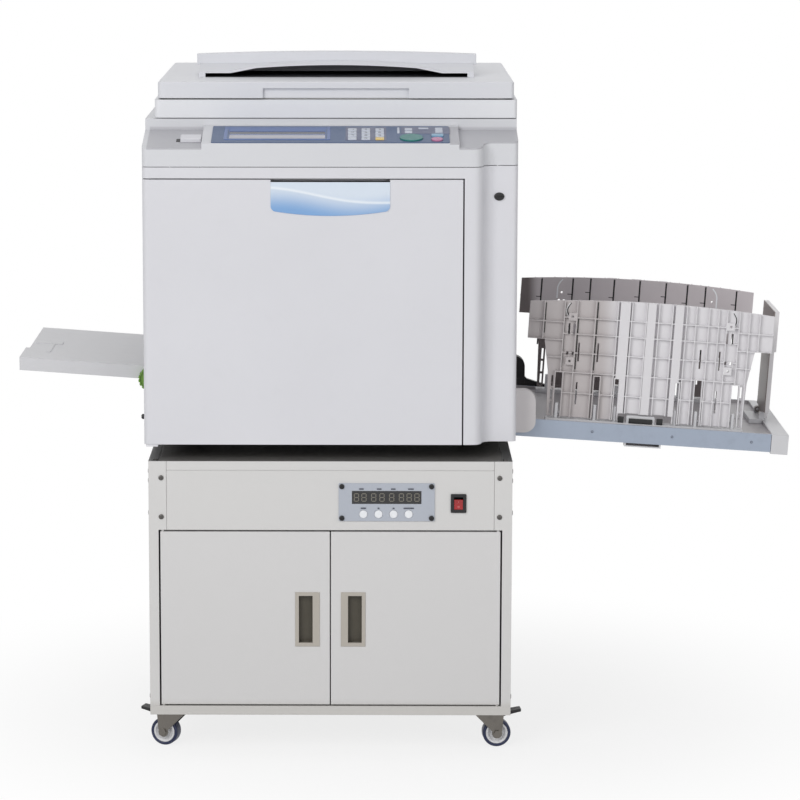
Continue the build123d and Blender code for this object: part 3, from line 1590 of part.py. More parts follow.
# Two hinge arms that carry the delivery tray on the body's side
with BuildPart() as delivery_arms:
    with BuildSketch(facing(arm_front)):
        with BuildLine():
            Polyline(
                (half_w + arm_reach - arm_r, arm_bottom + arm_h),
                (half_w, arm_bottom + arm_h),
                (half_w, arm_bottom),
                (half_w + arm_reach - arm_r, arm_bottom),
            )
            RadiusArc(
                (half_w + arm_reach - arm_r, arm_bottom), (half_w + arm_reach, arm_bottom + arm_r), -arm_r
            )
            Polyline(
                (half_w + arm_reach, arm_bottom + arm_r), (half_w + arm_reach, arm_bottom + arm_h - arm_r)
            )
            RadiusArc(
                (half_w + arm_reach, arm_bottom + arm_h - arm_r),
                (half_w + arm_reach - arm_r, arm_bottom + arm_h),
                -arm_r,
            )
        make_face()
    extrude(amount=-arm_t)
    with BuildSketch(facing(arm_front + arm_t)):
        with Locations((half_w + arm_reach / 2, tray_z - strip_w / 2 + 2)):
            Circle(9)
    extrude(amount=arm_front + arm_t - tray_y)
    mirror(about=mid_plane)
delivery_arms.part.label = "delivery_arms"
export_step(delivery_arms.part, "parts/delivery_arms.step")

# Delivery tray: a pan with skirts, an end bar with a hand hole, and slots for the guides' feet
bar_a = tray_l - end_bar_w
floor_top = -tray_drop
skirt = tray_y + strip_t
end_y = paper_y - foot_w / 2
stop_a = tray_l - stop_in - stop_rib_d - stop_t
stop_foot = (bar_a - 22.0, bar_a - 6.0)
with BuildPart() as delivery_tray:
    slab(tray_start, bar_a, skirt, 2 * paper_y - skirt, floor_top - tray_t, floor_top)
    slab(tray_start, tray_start + tray_t, skirt, 2 * paper_y - skirt, -strip_w, floor_top)
    slab(tray_start, bar_a, skirt, skirt + tray_t, -strip_w, 0)
    slab(tray_start, bar_a, 2 * paper_y - skirt - tray_t, 2 * paper_y - skirt, -strip_w, 0)
    slab(bar_a, tray_l, tray_y, tray_far, -end_bar_h, 0)
    hollow = (bar_a + tray_t, tray_l - tray_t, tray_y + tray_t, tray_far - tray_t)
    slab(*hollow, -end_bar_h, -tray_t, mode=Mode.SUBTRACT)
    half = hand_hole_l / 2
    hole_h = (-end_bar_h + 8, -end_bar_h + 8 + hand_hole_w)
    slab(tray_l - tray_t, tray_l, paper_y - half, paper_y + half, *hole_h, mode=Mode.SUBTRACT)
    catch = (catch_x - catch_w / 2, catch_x + catch_w / 2)
    slab(*catch, skirt, skirt + 20, -strip_w - catch_h, -strip_w + 1)
    catch_in = (catch[0] + 3, catch[1] - 3, skirt, skirt + 17)
    slab(*catch_in, -strip_w - catch_h + 2, -strip_w, mode=Mode.SUBTRACT)
    for a in (guide_mid - foot_x, guide_mid + foot_x):
        half = foot_w / 2 + foot_clear
        low = carriage_y + foot_flange - foot_clear
        high = carriage_y + foot_flange + foot_l + guide_travel + foot_clear
        for y0, y1 in ((low, high), (2 * paper_y - high, 2 * paper_y - low)):
            slab(a - half, a + half, y0, y1, floor_top - tray_t, floor_top, mode=Mode.SUBTRACT)
    slab(
        stop_foot[0] - stop_travel - foot_clear,
        stop_foot[1] + foot_clear,
        end_y - foot_clear,
        end_y + foot_w + foot_clear,
        floor_top - tray_t,
        floor_top,
        mode=Mode.SUBTRACT,
    )
delivery_tray.part.label = "delivery_tray"
export_step(delivery_tray.part, "parts/delivery_tray.step")

# Two steel strips, one on each long side of the delivery tray, with their screws
with BuildPart() as delivery_rails:
    slab(tray_start, bar_a - seam, tray_y, skirt, -strip_w, 0)
    with BuildSketch(tray_front(tray_y)):
        with Locations(*[(x, -strip_w / 2) for x in rail_screws]):
            Circle(rail_screw_r)
    extrude(amount=0.8)
    mirror(about=mid_plane)
delivery_rails.part.label = "delivery_rails"
export_step(delivery_rails.part, "parts/delivery_rails.step")


def guide_outline():
    """Face of a side guide: wings above, three pairs of legs and a short middle below."""
    half = guide_half
    with BuildSketch() as face:
        with BuildLine():
            Polyline(
                (half, guide_top),
                (half, guide_wing),
                (guide_wing_in, guide_wing),
                (guide_waist, guide_waist_h),
                (guide_leg_out, guide_leg),
                (-guide_leg_out, guide_leg),
                (-guide_waist, guide_waist_h),
                (-guide_wing_in, guide_wing),
                (-half, guide_wing),
                (-half, guide_top),
            )
            ThreePointArc((-half, guide_top), (0, guide_crown), (half, guide_top))
        make_face()
        for x, width, top in leg_gaps:
            span(x - width / 2, x + width / 2, 0, top, mode=Mode.SUBTRACT)
        span(-guide_low_half, guide_low_half, 0, guide_low, mode=Mode.SUBTRACT)
    return face.sketch


def guide_ribs(outline):
    """Ribs on a side guide's outer face: a rim, columns, rows, wide bands and screw bosses."""
    with BuildSketch() as ribs:
        for x in guide_columns:
            span(x - guide_rib / 2, x + guide_rib / 2, 0, guide_crown)
        for x, width in guide_bands:
            span(x - width / 2, x + width / 2, guide_low, guide_crown)
        for h in guide_rows_mid:
            span(-guide_columns[-2] + 18, guide_columns[-2] - 18, h - guide_rib / 2, h + guide_rib / 2)
        for h in guide_rows_end:
            for x0, x1 in ((-guide_half, -guide_columns[-2] + 18), (guide_columns[-2] - 18, guide_half)):
                span(x0, x1, h - guide_rib / 2, h + guide_rib / 2)
        for x in (-boss_x, boss_x):
            for h in boss_h:
                span(x - boss_w / 2, x + boss_w / 2, h - boss_w / 2, h + boss_w / 2)
        for x, gap_w, top in leg_gaps:
            span(x - gap_w / 2 - guide_rib, x + gap_w / 2 + guide_rib, 0, top + guide_rib)
        add(outline, mode=Mode.INTERSECT)
    return ribs.sketch


side_outline = guide_outline()
side_ribs = guide_ribs(side_outline)
gap_widths = {gap[0]: gap[1] for gap in leg_gaps}
with BuildPart() as front_guide:
    outer = guide_y - guide_plate - guide_rib_d
    with BuildSketch(tray_front(guide_y)):
        add(side_outline)
    extrude(amount=guide_plate)
    with BuildSketch(tray_front(guide_y - guide_plate)):
        add(side_ribs)
    extrude(amount=guide_rib_d)
    with BuildSketch(tray_front(guide_y)):
        for x, h, length in slits:
            with Locations((x, h)):
                Rectangle(slit_w, length)
        for x in (-ladder_x, ladder_x):
            for h, length in ladder_slots:
                with Locations((x, h)):
                    Rectangle(ladder_slot_w, length)
        for x, h, length in latch_slots:
            with Locations((-x, h), (x, h)):
                Rectangle(4, length)
        for x in (-boss_x, boss_x):
            with Locations(*[(x, h) for h in boss_h]):
                Circle(boss_hole_r)
    extrude(amount=guide_plate + guide_rib_d, mode=Mode.SUBTRACT)
    with BuildSketch(tray_front(guide_y)):
        for x in groove_x:
            span(x - groove_w / 2, x + groove_w / 2, guide_waist_h, guide_crown)
    extrude(amount=guide_groove, mode=Mode.SUBTRACT)
    for x, hand in knuckles:
        start = x + hand * (gap_widths[x] / 2 + run_gap)
        centre = start + hand * knuckle_l / 2
        with Locations(
            tray_frame.location * Pos(guide_mid + centre, guide_y + hinge_in, hinge_h) * Rot(0, 90, 0)
        ):
            Cylinder(knuckle_r, knuckle_l)
    for x, hand in knuckles:
        with Locations(
            tray_frame.location * Pos(guide_mid + x, guide_y + hinge_in, hinge_h) * Rot(0, 90, 0)
        ):
            Cylinder(hinge_pin_r + fit_gap, 50, mode=Mode.SUBTRACT)
front_guide.part.label = "front_guide"
export_step(front_guide.part, "parts/front_guide.step")
rear_guide = front_guide.part.mirror(mid_plane)
rear_guide.label = "rear_guide"
export_step(rear_guide, "parts/rear_guide.step")

# Carriage of a side guide: a bar on the tray's floor, two feet through its slots, prongs with pins
under_floor = floor_top - tray_t - run_gap
with BuildPart() as front_guide_carriage:
    slab(
        guide_mid - carriage_half,
        guide_mid + carriage_half,
        carriage_y,
        carriage_y + carriage_w,
        carriage_low,
        carriage_top,
    )
    prong_y = guide_y + hinge_in - 2 * knuckle_r / 2
    for x in gap_widths:
        a = guide_mid + x
        prong = (prong_y - 2, prong_y - 2 + prong_d, carriage_top - 1, prong_h)
        slab(a - prong_w / 2, a + prong_w / 2, *prong)
    for x, hand in knuckles:
        pin_l = prong_w / 2 + knuckle_l + 3
        centre = guide_mid + x + hand * pin_l / 2
        with Locations(tray_frame.location * Pos(centre, guide_y + hinge_in, hinge_h) * Rot(0, 90, 0)):
            Cylinder(hinge_pin_r, pin_l)
    latch = (carriage_y + 2, guide_y - 1, carriage_top - 1, latch_top)
    slab(guide_mid + latch_x[0], guide_mid + latch_x[1], *latch)
    for a in (guide_mid - foot_x, guide_mid + foot_x):
        depth = (carriage_y + foot_flange, carriage_y + foot_flange + foot_l)
        slab(a - foot_w / 2, a + foot_w / 2, *depth, under_floor, carriage_low + 1)
        slab(a - foot_w / 2 - 4, a + foot_w / 2 + 4, *depth, under_floor - 3, under_floor)
front_guide_carriage.part.label = "front_guide_carriage"
export_step(front_guide_carriage.part, "parts/front_guide_carriage.step")
rear_guide_carriage = front_guide_carriage.part.mirror(mid_plane)
rear_guide_carriage.label = "rear_guide_carriage"
export_step(rear_guide_carriage, "parts/rear_guide_carriage.step")

# End plate: wide above, a neck below, ribs outside and two knuckles at its foot
stop_axis_a = stop_a - hinge_in
with BuildSketch() as stop_face:
    span(paper_y - stop_w / 2, paper_y + stop_w / 2, stop_shoulder, stop_top)
    span(paper_y - stop_neck_w / 2, paper_y + stop_neck_w / 2, guide_low, stop_shoulder)
    span(paper_y - stop_foot_w / 2, paper_y + stop_foot_w / 2, guide_leg, guide_low)
stop_outline = stop_face.sketch
with BuildSketch() as stop_rib_face:
    add(stop_outline)
    offset(amount=-guide_rib, mode=Mode.SUBTRACT)
    for y in stop_columns:
        span(paper_y + y - 1, paper_y + y + 1, guide_leg, stop_top)
    for h in stop_rows:
        span(paper_y - stop_w / 2, paper_y + stop_w / 2, h - 1, h + 1)
    add(stop_outline, mode=Mode.INTERSECT)
stop_ribs = stop_rib_face.sketch
with BuildPart() as end_plate:
    with BuildSketch(tray_end(stop_a)):
        add(stop_outline)
    extrude(amount=stop_t)
    with BuildSketch(tray_end(stop_a + stop_t)):
        add(stop_ribs)
    extrude(amount=stop_rib_d)
    for hand in (-1, 1):
        centre = paper_y + hand * (stop_foot_w / 2 - knuckle_l / 2)
        with Locations(tray_frame.location * Pos(stop_axis_a, centre, hinge_h) * Rot(90, 0, 0)):
            Cylinder(knuckle_r, knuckle_l)
    with Locations(tray_frame.location * Pos(stop_axis_a, paper_y, hinge_h) * Rot(90, 0, 0)):
        Cylinder(hinge_pin_r + fit_gap, stop_foot_w + 2, mode=Mode.SUBTRACT)
end_plate.part.label = "end_plate"
export_step(end_plate.part, "parts/end_plate.step")

# Carriage of the end plate: on the floor, with a foot through its slot and two lugs with pins
with BuildPart() as end_plate_carriage:
    half = stop_base_w / 2
    slab(bar_a - stop_base_l, bar_a - 0.5, paper_y - half, paper_y + half, carriage_low, carriage_top + 1)
    slab(bar_a - 6, stop_axis_a + knuckle_r, paper_y - half, paper_y + half, 0.6, carriage_top + 1)
    for hand in (-1, 1):
        inner = stop_foot_w / 2 + run_gap
        low, high = sorted((paper_y + hand * inner, paper_y + hand * (inner + stop_lug)))
        slab(stop_axis_a - knuckle_r, stop_axis_a + knuckle_r, low, high, carriage_top, hinge_h)
        with Locations(
            tray_frame.location * Pos(stop_axis_a, (low + high) / 2, hinge_h) * Rot(90, 0, 0)
        ):
            Cylinder(knuckle_r, stop_lug)
        pin_l = stop_lug + run_gap + knuckle_l
        centre = paper_y + hand * (inner + stop_lug - pin_l / 2)
        with Locations(tray_frame.location * Pos(stop_axis_a, centre, hinge_h) * Rot(90, 0, 0)):
            Cylinder(hinge_pin_r, pin_l)
    slab(*stop_foot, end_y, end_y + foot_w, under_floor, carriage_low + 1)
    slab(*stop_foot, end_y - 4, end_y + foot_w + 4, under_floor - 3, under_floor)
end_plate_carriage.part.label = "end_plate_carriage"
export_step(end_plate_carriage.part, "parts/end_plate_carriage.step")
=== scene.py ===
"""Looks of a digital duplicator on its wheeled cabinet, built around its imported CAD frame.

A piece's own sizes are in millimetres on its seat. Places on the object, the zones and edges of the
finishes, the camera and the lamps are in metres.
"""
import json
import logging
import math
from dataclasses import dataclass, field
from enum import Enum
from functools import cache
from itertools import product
from typing import Any, ClassVar, Iterable

import bmesh
import bpy
import numpy as np
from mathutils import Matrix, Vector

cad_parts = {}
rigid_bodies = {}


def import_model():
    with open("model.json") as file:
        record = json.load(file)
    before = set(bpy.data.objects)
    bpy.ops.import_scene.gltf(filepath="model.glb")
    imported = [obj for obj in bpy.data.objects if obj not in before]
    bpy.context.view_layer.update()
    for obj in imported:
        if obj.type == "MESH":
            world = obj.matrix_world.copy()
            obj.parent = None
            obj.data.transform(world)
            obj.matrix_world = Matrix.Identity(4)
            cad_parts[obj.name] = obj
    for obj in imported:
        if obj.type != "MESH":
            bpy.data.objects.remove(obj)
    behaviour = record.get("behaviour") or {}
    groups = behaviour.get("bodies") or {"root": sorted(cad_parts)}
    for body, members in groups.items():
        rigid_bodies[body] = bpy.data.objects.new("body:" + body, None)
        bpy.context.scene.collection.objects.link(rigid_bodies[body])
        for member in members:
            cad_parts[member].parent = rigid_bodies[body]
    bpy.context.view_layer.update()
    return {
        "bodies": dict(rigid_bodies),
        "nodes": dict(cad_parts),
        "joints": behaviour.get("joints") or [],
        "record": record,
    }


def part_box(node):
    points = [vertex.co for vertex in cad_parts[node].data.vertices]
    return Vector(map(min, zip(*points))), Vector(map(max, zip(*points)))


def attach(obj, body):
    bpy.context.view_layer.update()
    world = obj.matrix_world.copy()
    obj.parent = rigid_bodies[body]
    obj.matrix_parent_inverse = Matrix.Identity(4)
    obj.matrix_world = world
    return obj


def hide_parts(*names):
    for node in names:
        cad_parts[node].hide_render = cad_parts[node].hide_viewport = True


log = logging.getLogger("duplicator")

MM = 0.001
WELD = 1e-7
SHARP = 35.0
SENSOR = 36.0
X, Y, Z = (1.0, 0.0, 0.0), (0.0, 1.0, 0.0), (0.0, 0.0, 1.0)
WHITE = (1.0, 1.0, 1.0)
SEEN_RAYS = ("Is Camera Ray", "Is Glossy Ray", "Is Transmission Ray")
EDGE_SAMPLES = 6
EDGE_STEP = (0.01, 0.25)
Pair = tuple[float, float]
Triple = tuple[float, float, float]
Four = tuple[float, float, float, float]


def linear(display: Triple) -> Triple:
    """Turns a display colour into the linear colour that a shader takes.

    Args:
        display: Red, green and blue, 0 to 255.

    Returns:
        The three linear values, 0 to 1.
    """
    share = np.array(display) / 255.0
    curve = np.where(share <= 0.04045, share / 12.92, ((share + 0.055) / 1.055) ** 2.4)
    return tuple(float(c) for c in curve)


class Term:
    """A shader socket that takes part in written arithmetic."""

    def __init__(self, shader: "Shader", socket: bpy.types.NodeSocket) -> None:
        """Wraps an output socket of one of the shader's nodes."""
        self.shader, self.socket = shader, socket

    def _pair(self, operation: str, first: Any, second: Any = 0.0) -> "Term":
        """Adds a Math node for two terms or numbers and returns its value."""
        return self.shader.node("ShaderNodeMath", {"operation": operation}, {0: first, 1: second})

    def __add__(self, other: Any) -> "Term":
        """Sum."""
        return self._pair("ADD", self, other)

    __radd__ = __add__

    def __sub__(self, other: Any) -> "Term":
        """Difference."""
        return self._pair("SUBTRACT", self, other)

    def __rsub__(self, other: Any) -> "Term":
        """Difference from a number."""
        return self._pair("SUBTRACT", other, self)

    def __mul__(self, other: Any) -> "Term":
        """Product."""
        return self._pair("MULTIPLY", self, other)

    __rmul__ = __mul__

    def __truediv__(self, other: Any) -> "Term":
        """Quotient."""
        return self._pair("DIVIDE", self, other)

    def sine(self) -> "Term":
        """Sine of an angle in radians."""
        return self._pair("SINE", self)

    def root(self) -> "Term":
        """Square root."""
        return self._pair("SQRT", self)

    def ramp(self, low: float, high: float) -> "Term":
        """Smooth step from nought at low to one at high."""
        settings = {"interpolation_type": "SMOOTHSTEP", "clamp": True}
        return self.shader.node("ShaderNodeMapRange", settings,
                                {0: self, 1: low, 2: high, 3: 0.0, 4: 1.0})


@dataclass(frozen=True)
class Pattern:
    """A noise: cells per metre, octaves, the share that each keeps, and where it steps to one."""

    scale: float
    detail: float = 2.0
    roughness: float = 0.5
    step: Pair | None = None


class Shader:
    """Node tree of a new material or world, with one way to add any node."""

    def __init__(self, name: str, store: Any = None) -> None:
        """Starts an empty tree.

        Args:
            name: Name of the material or world.
            store: Where it is kept, the file's materials if not given.
        """
        self.owner = (bpy.data.materials if store is None else store).new(name)
        self.owner.use_nodes = True
        self.tree = self.owner.node_tree
        self.tree.nodes.clear()
        self._place: Term | None = None

    def node(self, kind: str, settings: dict[str, Any] | None = None,
             inputs: dict[Any, Any] | None = None, output: int | str = 0) -> Term:
        """Adds a node, sets it up and joins it.

        Args:
            kind: The node's type.
            settings: Attributes that are set first.
            inputs: Values or terms, by socket name or number.
            output: The output socket to return.

        Returns:
            The output as a term.
        """
        made = self.tree.nodes.new(kind)
        for key, value in (settings or {}).items():
            setattr(made, key, value)
        for key, value in (inputs or {}).items():
            if isinstance(value, Term):
                self.tree.links.new(value.socket, made.inputs[key])
            elif made.inputs[key].type == "RGBA":
                made.inputs[key].default_value = (*value, 1.0)
            else:
                made.inputs[key].default_value = value
        return Term(self, made.outputs[output])

    def place(self) -> Term:
        """Position in the object's own coordinates, in metres."""
        if self._place is None:
            self._place = self.node("ShaderNodeTexCoord", output="Object")
        return self._place

    def axis(self, index: int) -> Term:
        """One coordinate of the position, 0 to 2 for X to Z."""
        return self.node("ShaderNodeSeparateXYZ", inputs={0: self.place()}, output=index)

    def noise(self, pattern: Pattern, stretch: Triple | None = None) -> Term:
        """Noise over the object.

        Args:
            pattern: Its scale, its detail and its step.
            stretch: Scale along each axis, for streaks.

        Returns:
            The noise, from nought to one.
        """
        vector = self.place()
        if stretch:
            vector = self.node("ShaderNodeMapping", inputs={"Vector": vector, "Scale": stretch})
        noise = self.node("ShaderNodeTexNoise", inputs={
            "Vector": vector, "Scale": pattern.scale, "Detail": pattern.detail,
            "Roughness": pattern.roughness})
        return noise.ramp(*pattern.step) if pattern.step else noise

    def mix(self, share: Any, first: Any, second: Any) -> Term:
        """Colour between two colours or terms, the second where the share is one."""
        return self.node("ShaderNodeMix", {"data_type": "RGBA"}, {0: share, 6: first, 7: second}, 2)

    def bump(self, height: Term, depth: float, strength: float, under: Term) -> Term:
        """Normal that follows a height, with a depth in metres, over another normal."""
        return self.node("ShaderNodeBump", inputs={
            "Height": height, "Distance": depth, "Strength": strength, "Normal": under})

    def soft_edge(self, radius: float) -> tuple[Term, Term]:
        """Rounds the shading at edges.

        Args:
            radius: Radius of the rounding in metres.

        Returns:
            The rounded normal, and a mask that is one on the edges.
        """
        rounded = self.node("ShaderNodeBevel", {"samples": EDGE_SAMPLES}, {"Radius": radius})
        flat = self.node("ShaderNodeNewGeometry", output="Normal")
        alike = self.node("ShaderNodeVectorMath", {"operation": "DOT_PRODUCT"}, {0: rounded, 1: flat},
                          "Value")
        return rounded, (1.0 - alike).ramp(*EDGE_STEP)

    def seen(self) -> Term:
        """One for rays of the camera, in gloss and in glass, nought for those that light."""
        rays = [self.node("ShaderNodeLightPath", output=name) for name in SEEN_RAYS]
        return (rays[0] + rays[1] + rays[2]).ramp(0.0, 1.0)

    def finish(self, **inputs: Any) -> bpy.types.Material:
        """Adds the surface shader, with _ for a space in its sockets' names, and the output."""
        named = {key.replace("_", " "): value for key, value in inputs.items()}
        return self.output(self.node("ShaderNodeBsdfPrincipled", inputs=named))

    def output(self, surface: Term, kind: str = "ShaderNodeOutputMaterial") -> Any:
        """Joins a surface to the tree's output.

        Args:
            surface: The surface or background.
            kind: Type of the output node.

        Returns:
            The finished material or world.
        """
        out = self.tree.nodes.new(kind)
        self.tree.links.new(surface.socket, out.inputs["Surface"])
        return self.owner


@dataclass(frozen=True)
class Zone:
    """Part of a surface that lies past a soft border, square to a direction."""

    along: Triple
    outside: float
    inside: float

    def share(self, shader: Shader) -> Term:
        """One inside and nought outside, from the position's reach along the direction."""
        reach = shader.node("ShaderNodeVectorMath", {"operation": "DOT_PRODUCT"},
                            {0: shader.place(), 1: self.along}, "Value")
        return reach.ramp(self.outside, self.inside)


@dataclass(frozen=True)
class Finish:
    """A finish of one main colour, written as a display shows it."""

    name: str
    colour: Triple
    roughness: float = 0.4
    rough_parts: ClassVar[Triple] = (0.0, 0.0, 0.0)

    def shade(self, factor: float = 1.0, lift: float = 0.0) -> Triple:
        """Main colour made darker or paler, as a linear colour of at most one."""
        return tuple(min(1.0, c * factor + lift) for c in linear(self.colour))

    def rough(self, first: Term, second: Term) -> Term:
        """Roughness with the shares of two patterns added and the middle of these taken off."""
        one, other, middle = self.rough_parts
        return first * one + second * other + (self.roughness - middle)


@dataclass(frozen=True)
class Zoned(Finish):
    """A finish whose groups of zones have a second colour."""

    zones: tuple[tuple[Zone, ...], ...] = ()
    zone_colour: Triple = (0.0, 0.0, 0.0)

    def with_zones(self, shader: Shader, base: Any) -> Any:
        """Puts the second colour where every zone of some group holds.

        The share is one minus the product of what each group leaves free.

        Args:
            shader: The shader to add to.
            base: Colour outside the zones.

        Returns:
            The colour with the zones on it.
        """
        if not self.zones:
            return base
        free = (1.0 - math.prod(zone.share(shader) for zone in group) for group in self.zones)
        return shader.mix(1.0 - math.prod(free), base, linear(self.zone_colour))


@dataclass(frozen=True)
class Moulded(Zoned):
    """Injection-moulded plastic with a fine spark grain, faint clouding and rubbed edges."""

    roughness: float = 0.42
    specular: float = 0.42
    cloud: Pattern = Pattern(5.0, 3.0, 0.55)
    cloud_tone: float = 0.934
    dust: Pattern = Pattern(42.0, 4.0, 0.6, (0.52, 0.78))
    dust_share: float = 0.048
    dust_tone: float = 0.72
    edge: float = 0.0012
    wear: float = 0.35
    worn_tone: Pair = (1.06, 0.01)
    grain: Pattern = Pattern(1600.0, 2.0, 0.6)
    grain_depth: float = 0.00012
    relief: float = 0.18
    rough_parts = (0.06, 0.05, 0.04)

    def material(self) -> bpy.types.Material:
        """Builds the material.

        Returns:
            The new material.
        """
        shader = Shader(self.name)
        cloud, dust = shader.noise(self.cloud), shader.noise(self.dust)
        normal, rubbed = shader.soft_edge(self.edge)
        base = shader.mix(cloud, self.shade(self.cloud_tone), self.shade())
        base = self.with_zones(shader, base)
        base = shader.mix(dust * self.dust_share, base, self.shade(self.dust_tone))
        base = shader.mix(rubbed * self.wear, base, self.shade(*self.worn_tone))
        normal = shader.bump(shader.noise(self.grain), self.grain_depth, self.relief, normal)
        return shader.finish(Base_Color=base, Roughness=self.rough(cloud, dust), Normal=normal,
                             Specular_IOR_Level=self.specular)


@dataclass(frozen=True)
class Coated(Zoned):
    """Powder-coated sheet steel: orange peel, a soft sheen, a little grime towards the floor and a
    darker base rail.
    """

    roughness: float = 0.38
    specular: float = 0.45
    cloud: Pattern = Pattern(3.5, 3.0, 0.5)
    cloud_tone: float = 0.95
    cloud_shares: Pair = (0.5, 0.25)
    spots: Pattern = Pattern(60.0, 5.0, 0.62, (0.60, 0.82))
    low: Pair = (0.05, 0.5)
    foot: Pair = (0.086, 0.104)
    grime: float = 0.05
    grime_and_foot_shares: Triple = (0.7, 0.5, 0.6)
    grime_and_foot_tint: Triple = (0.80, 0.78, 0.74)
    edge: float = 0.0010
    wear: float = 0.30
    worn_tone: Pair = (1.05, 0.008)
    peel: Pattern = Pattern(420.0, 1.0, 0.4)
    peel_depth: float = 0.0004
    relief: float = 0.10
    rough_parts = (0.08, 0.08, 0.05)

    def material(self) -> bpy.types.Material:
        """Builds the material.

        Returns:
            The new material.
        """
        shader = Shader(self.name)
        cloud, spots = shader.noise(self.cloud), shader.noise(self.spots)
        low = 1.0 - shader.axis(2).ramp(*self.low)
        # The foot band makes the base rail, below about 0.1 m, darker with the same tint as the
        # grime.
        foot = 1.0 - shader.axis(2).ramp(*self.foot)
        normal, rubbed = shader.soft_edge(self.edge)
        of_cloud, of_height = self.cloud_shares
        of_spots, of_low, of_foot = self.grime_and_foot_shares
        grime_and_foot = (spots * of_spots + low * of_low) * self.grime + foot * of_foot
        grime_and_foot_colour = tuple(c * k for c, k in zip(self.shade(), self.grime_and_foot_tint))
        clouded = cloud * of_cloud + low * of_height
        base = shader.mix(clouded, self.shade(), self.shade(self.cloud_tone))
        base = self.with_zones(shader, shader.mix(grime_and_foot, base, grime_and_foot_colour))
        base = shader.mix(rubbed * self.wear, base, self.shade(*self.worn_tone))
        normal = shader.bump(shader.noise(self.peel), self.peel_depth, self.relief, normal)
        return shader.finish(Base_Color=base, Roughness=self.rough(cloud, spots), Normal=normal,
                             Specular_IOR_Level=self.specular)


class Brushed(Enum):
    """Direction that a metal is brushed in, as the streaks' scale along each axis."""

    ALONG_X = (2.0, 60.0, 60.0)
    ALONG_Y = (60.0, 2.0, 60.0)
    NONE = (20.0, 20.0, 20.0)


@dataclass(frozen=True)
class Metal(Finish):
    """Bare or plated metal with brushed streaks and faint tarnish."""

    roughness: float = 0.3
    brushed: Brushed = Brushed.NONE
    metallic: float = 1.0
    tarnish: float = 0.2
    stain: Pattern = Pattern(55.0, 4.0, 0.6, (0.45, 0.75))
    stain_tone: float = 0.62
    edge: float = 0.0006
    wear: float = 0.4
    worn_tone: float = 1.15
    streaks: Pattern = Pattern(30.0, 4.0, 0.6)
    streak_depth: float = 0.00008
    relief: float = 0.25
    rough_parts = (0.14, 0.12, 0.08)

    def material(self) -> bpy.types.Material:
        """Builds the material.

        Returns:
            The new material.
        """
        shader = Shader(self.name)
        streaks, stain = shader.noise(self.streaks, self.brushed.value), shader.noise(self.stain)
        normal, rubbed = shader.soft_edge(self.edge)
        base = shader.mix(stain * self.tarnish, self.shade(), self.shade(self.stain_tone))
        base = shader.mix(rubbed * self.wear, base, self.shade(self.worn_tone))
        normal = shader.bump(streaks, self.streak_depth, self.relief, normal)
        return shader.finish(Base_Color=base, Roughness=self.rough(streaks, stain), Normal=normal,
                             Metallic=self.metallic)


@dataclass(frozen=True)
class Rubber(Finish):
    """Matte rubber, darker in its pores and dusty where it rolls."""

    roughness: float = 0.62
    dust: float = 0.16
    dust_colour: Triple = (120, 116, 110)
    dusty: Pattern = Pattern(90.0, 4.0, 0.65, (0.45, 0.8))
    dusty_rough: float = 0.2
    edge: float = 0.0012
    pores: Pattern = Pattern(700.0, 3.0, 0.6)
    pore_depth: float = 0.0002
    relief: float = 0.3

    def material(self) -> bpy.types.Material:
        """Builds the material.

        Returns:
            The new material.
        """
        shader = Shader(self.name)
        dusty, pores = shader.noise(self.dusty), shader.noise(self.pores)
        base = shader.mix(dusty * self.dust, self.shade(), linear(self.dust_colour))
        normal = shader.bump(pores, self.pore_depth, self.relief, shader.soft_edge(self.edge)[0])
        return shader.finish(Base_Color=base, Normal=normal,
                             Roughness=dusty * self.dusty_rough + self.roughness)


@dataclass(frozen=True)
class Gloss(Finish):
    """Polished plastic with fine scratches under a clear sheen."""

    roughness: float = 0.30
    edge: float = 0.0005
    wear: float = 0.25
    worn_tone: Pair = (1.3, 0.02)
    smear: Pattern = Pattern(80.0, 3.0, 0.6)
    smear_share: float = 0.08
    smear_tone: float = 0.8
    scratch: Pattern = Pattern(45.0, 5.0, 0.7, (0.62, 0.7))
    scratch_stretch: Triple = (14.0, 1.0, 3.0)
    coat: Pair = (0.4, 0.08)
    rough_parts = (0.08, 0.12, 0.0)

    def material(self) -> bpy.types.Material:
        """Builds the material.

        Returns:
            The new material.
        """
        shader = Shader(self.name)
        smear, scratch = shader.noise(self.smear), shader.noise(self.scratch, self.scratch_stretch)
        normal, rubbed = shader.soft_edge(self.edge)
        base = shader.mix(rubbed * self.wear, self.shade(), self.shade(*self.worn_tone))
        base = shader.mix(smear * self.smear_share, base, self.shade(self.smear_tone))
        return shader.finish(Base_Color=base, Roughness=self.rough(smear, scratch), Normal=normal,
                             Coat_Weight=self.coat[0], Coat_Roughness=self.coat[1])


@dataclass(frozen=True)
class Clear:
    """Pale green glass with faint wiping marks, its tint written as a linear colour."""

    name: str
    tint: Triple
    index: float = 1.5
    transmission: float = 0.9
    roughness: float = 0.02
    wiping: Pattern = Pattern(12.0, 3.0, 0.6)
    wiping_stretch: Triple = (1.0, 6.0, 1.0)
    wiped_share: float = 0.2
    wiped_tone: float = 0.9
    wiped_rough: float = 0.05

    def material(self) -> bpy.types.Material:
        """Builds the material.

        Returns:
            The new material.
        """
        shader = Shader(self.name)
        wiped = shader.noise(self.wiping, self.wiping_stretch)
        dull = tuple(c * self.wiped_tone for c in self.tint)
        rough = wiped * self.wiped_rough + self.roughness
        return shader.finish(Base_Color=shader.mix(wiped * self.wiped_share, self.tint, dull),
                             Roughness=rough, Transmission_Weight=self.transmission, IOR=self.index)


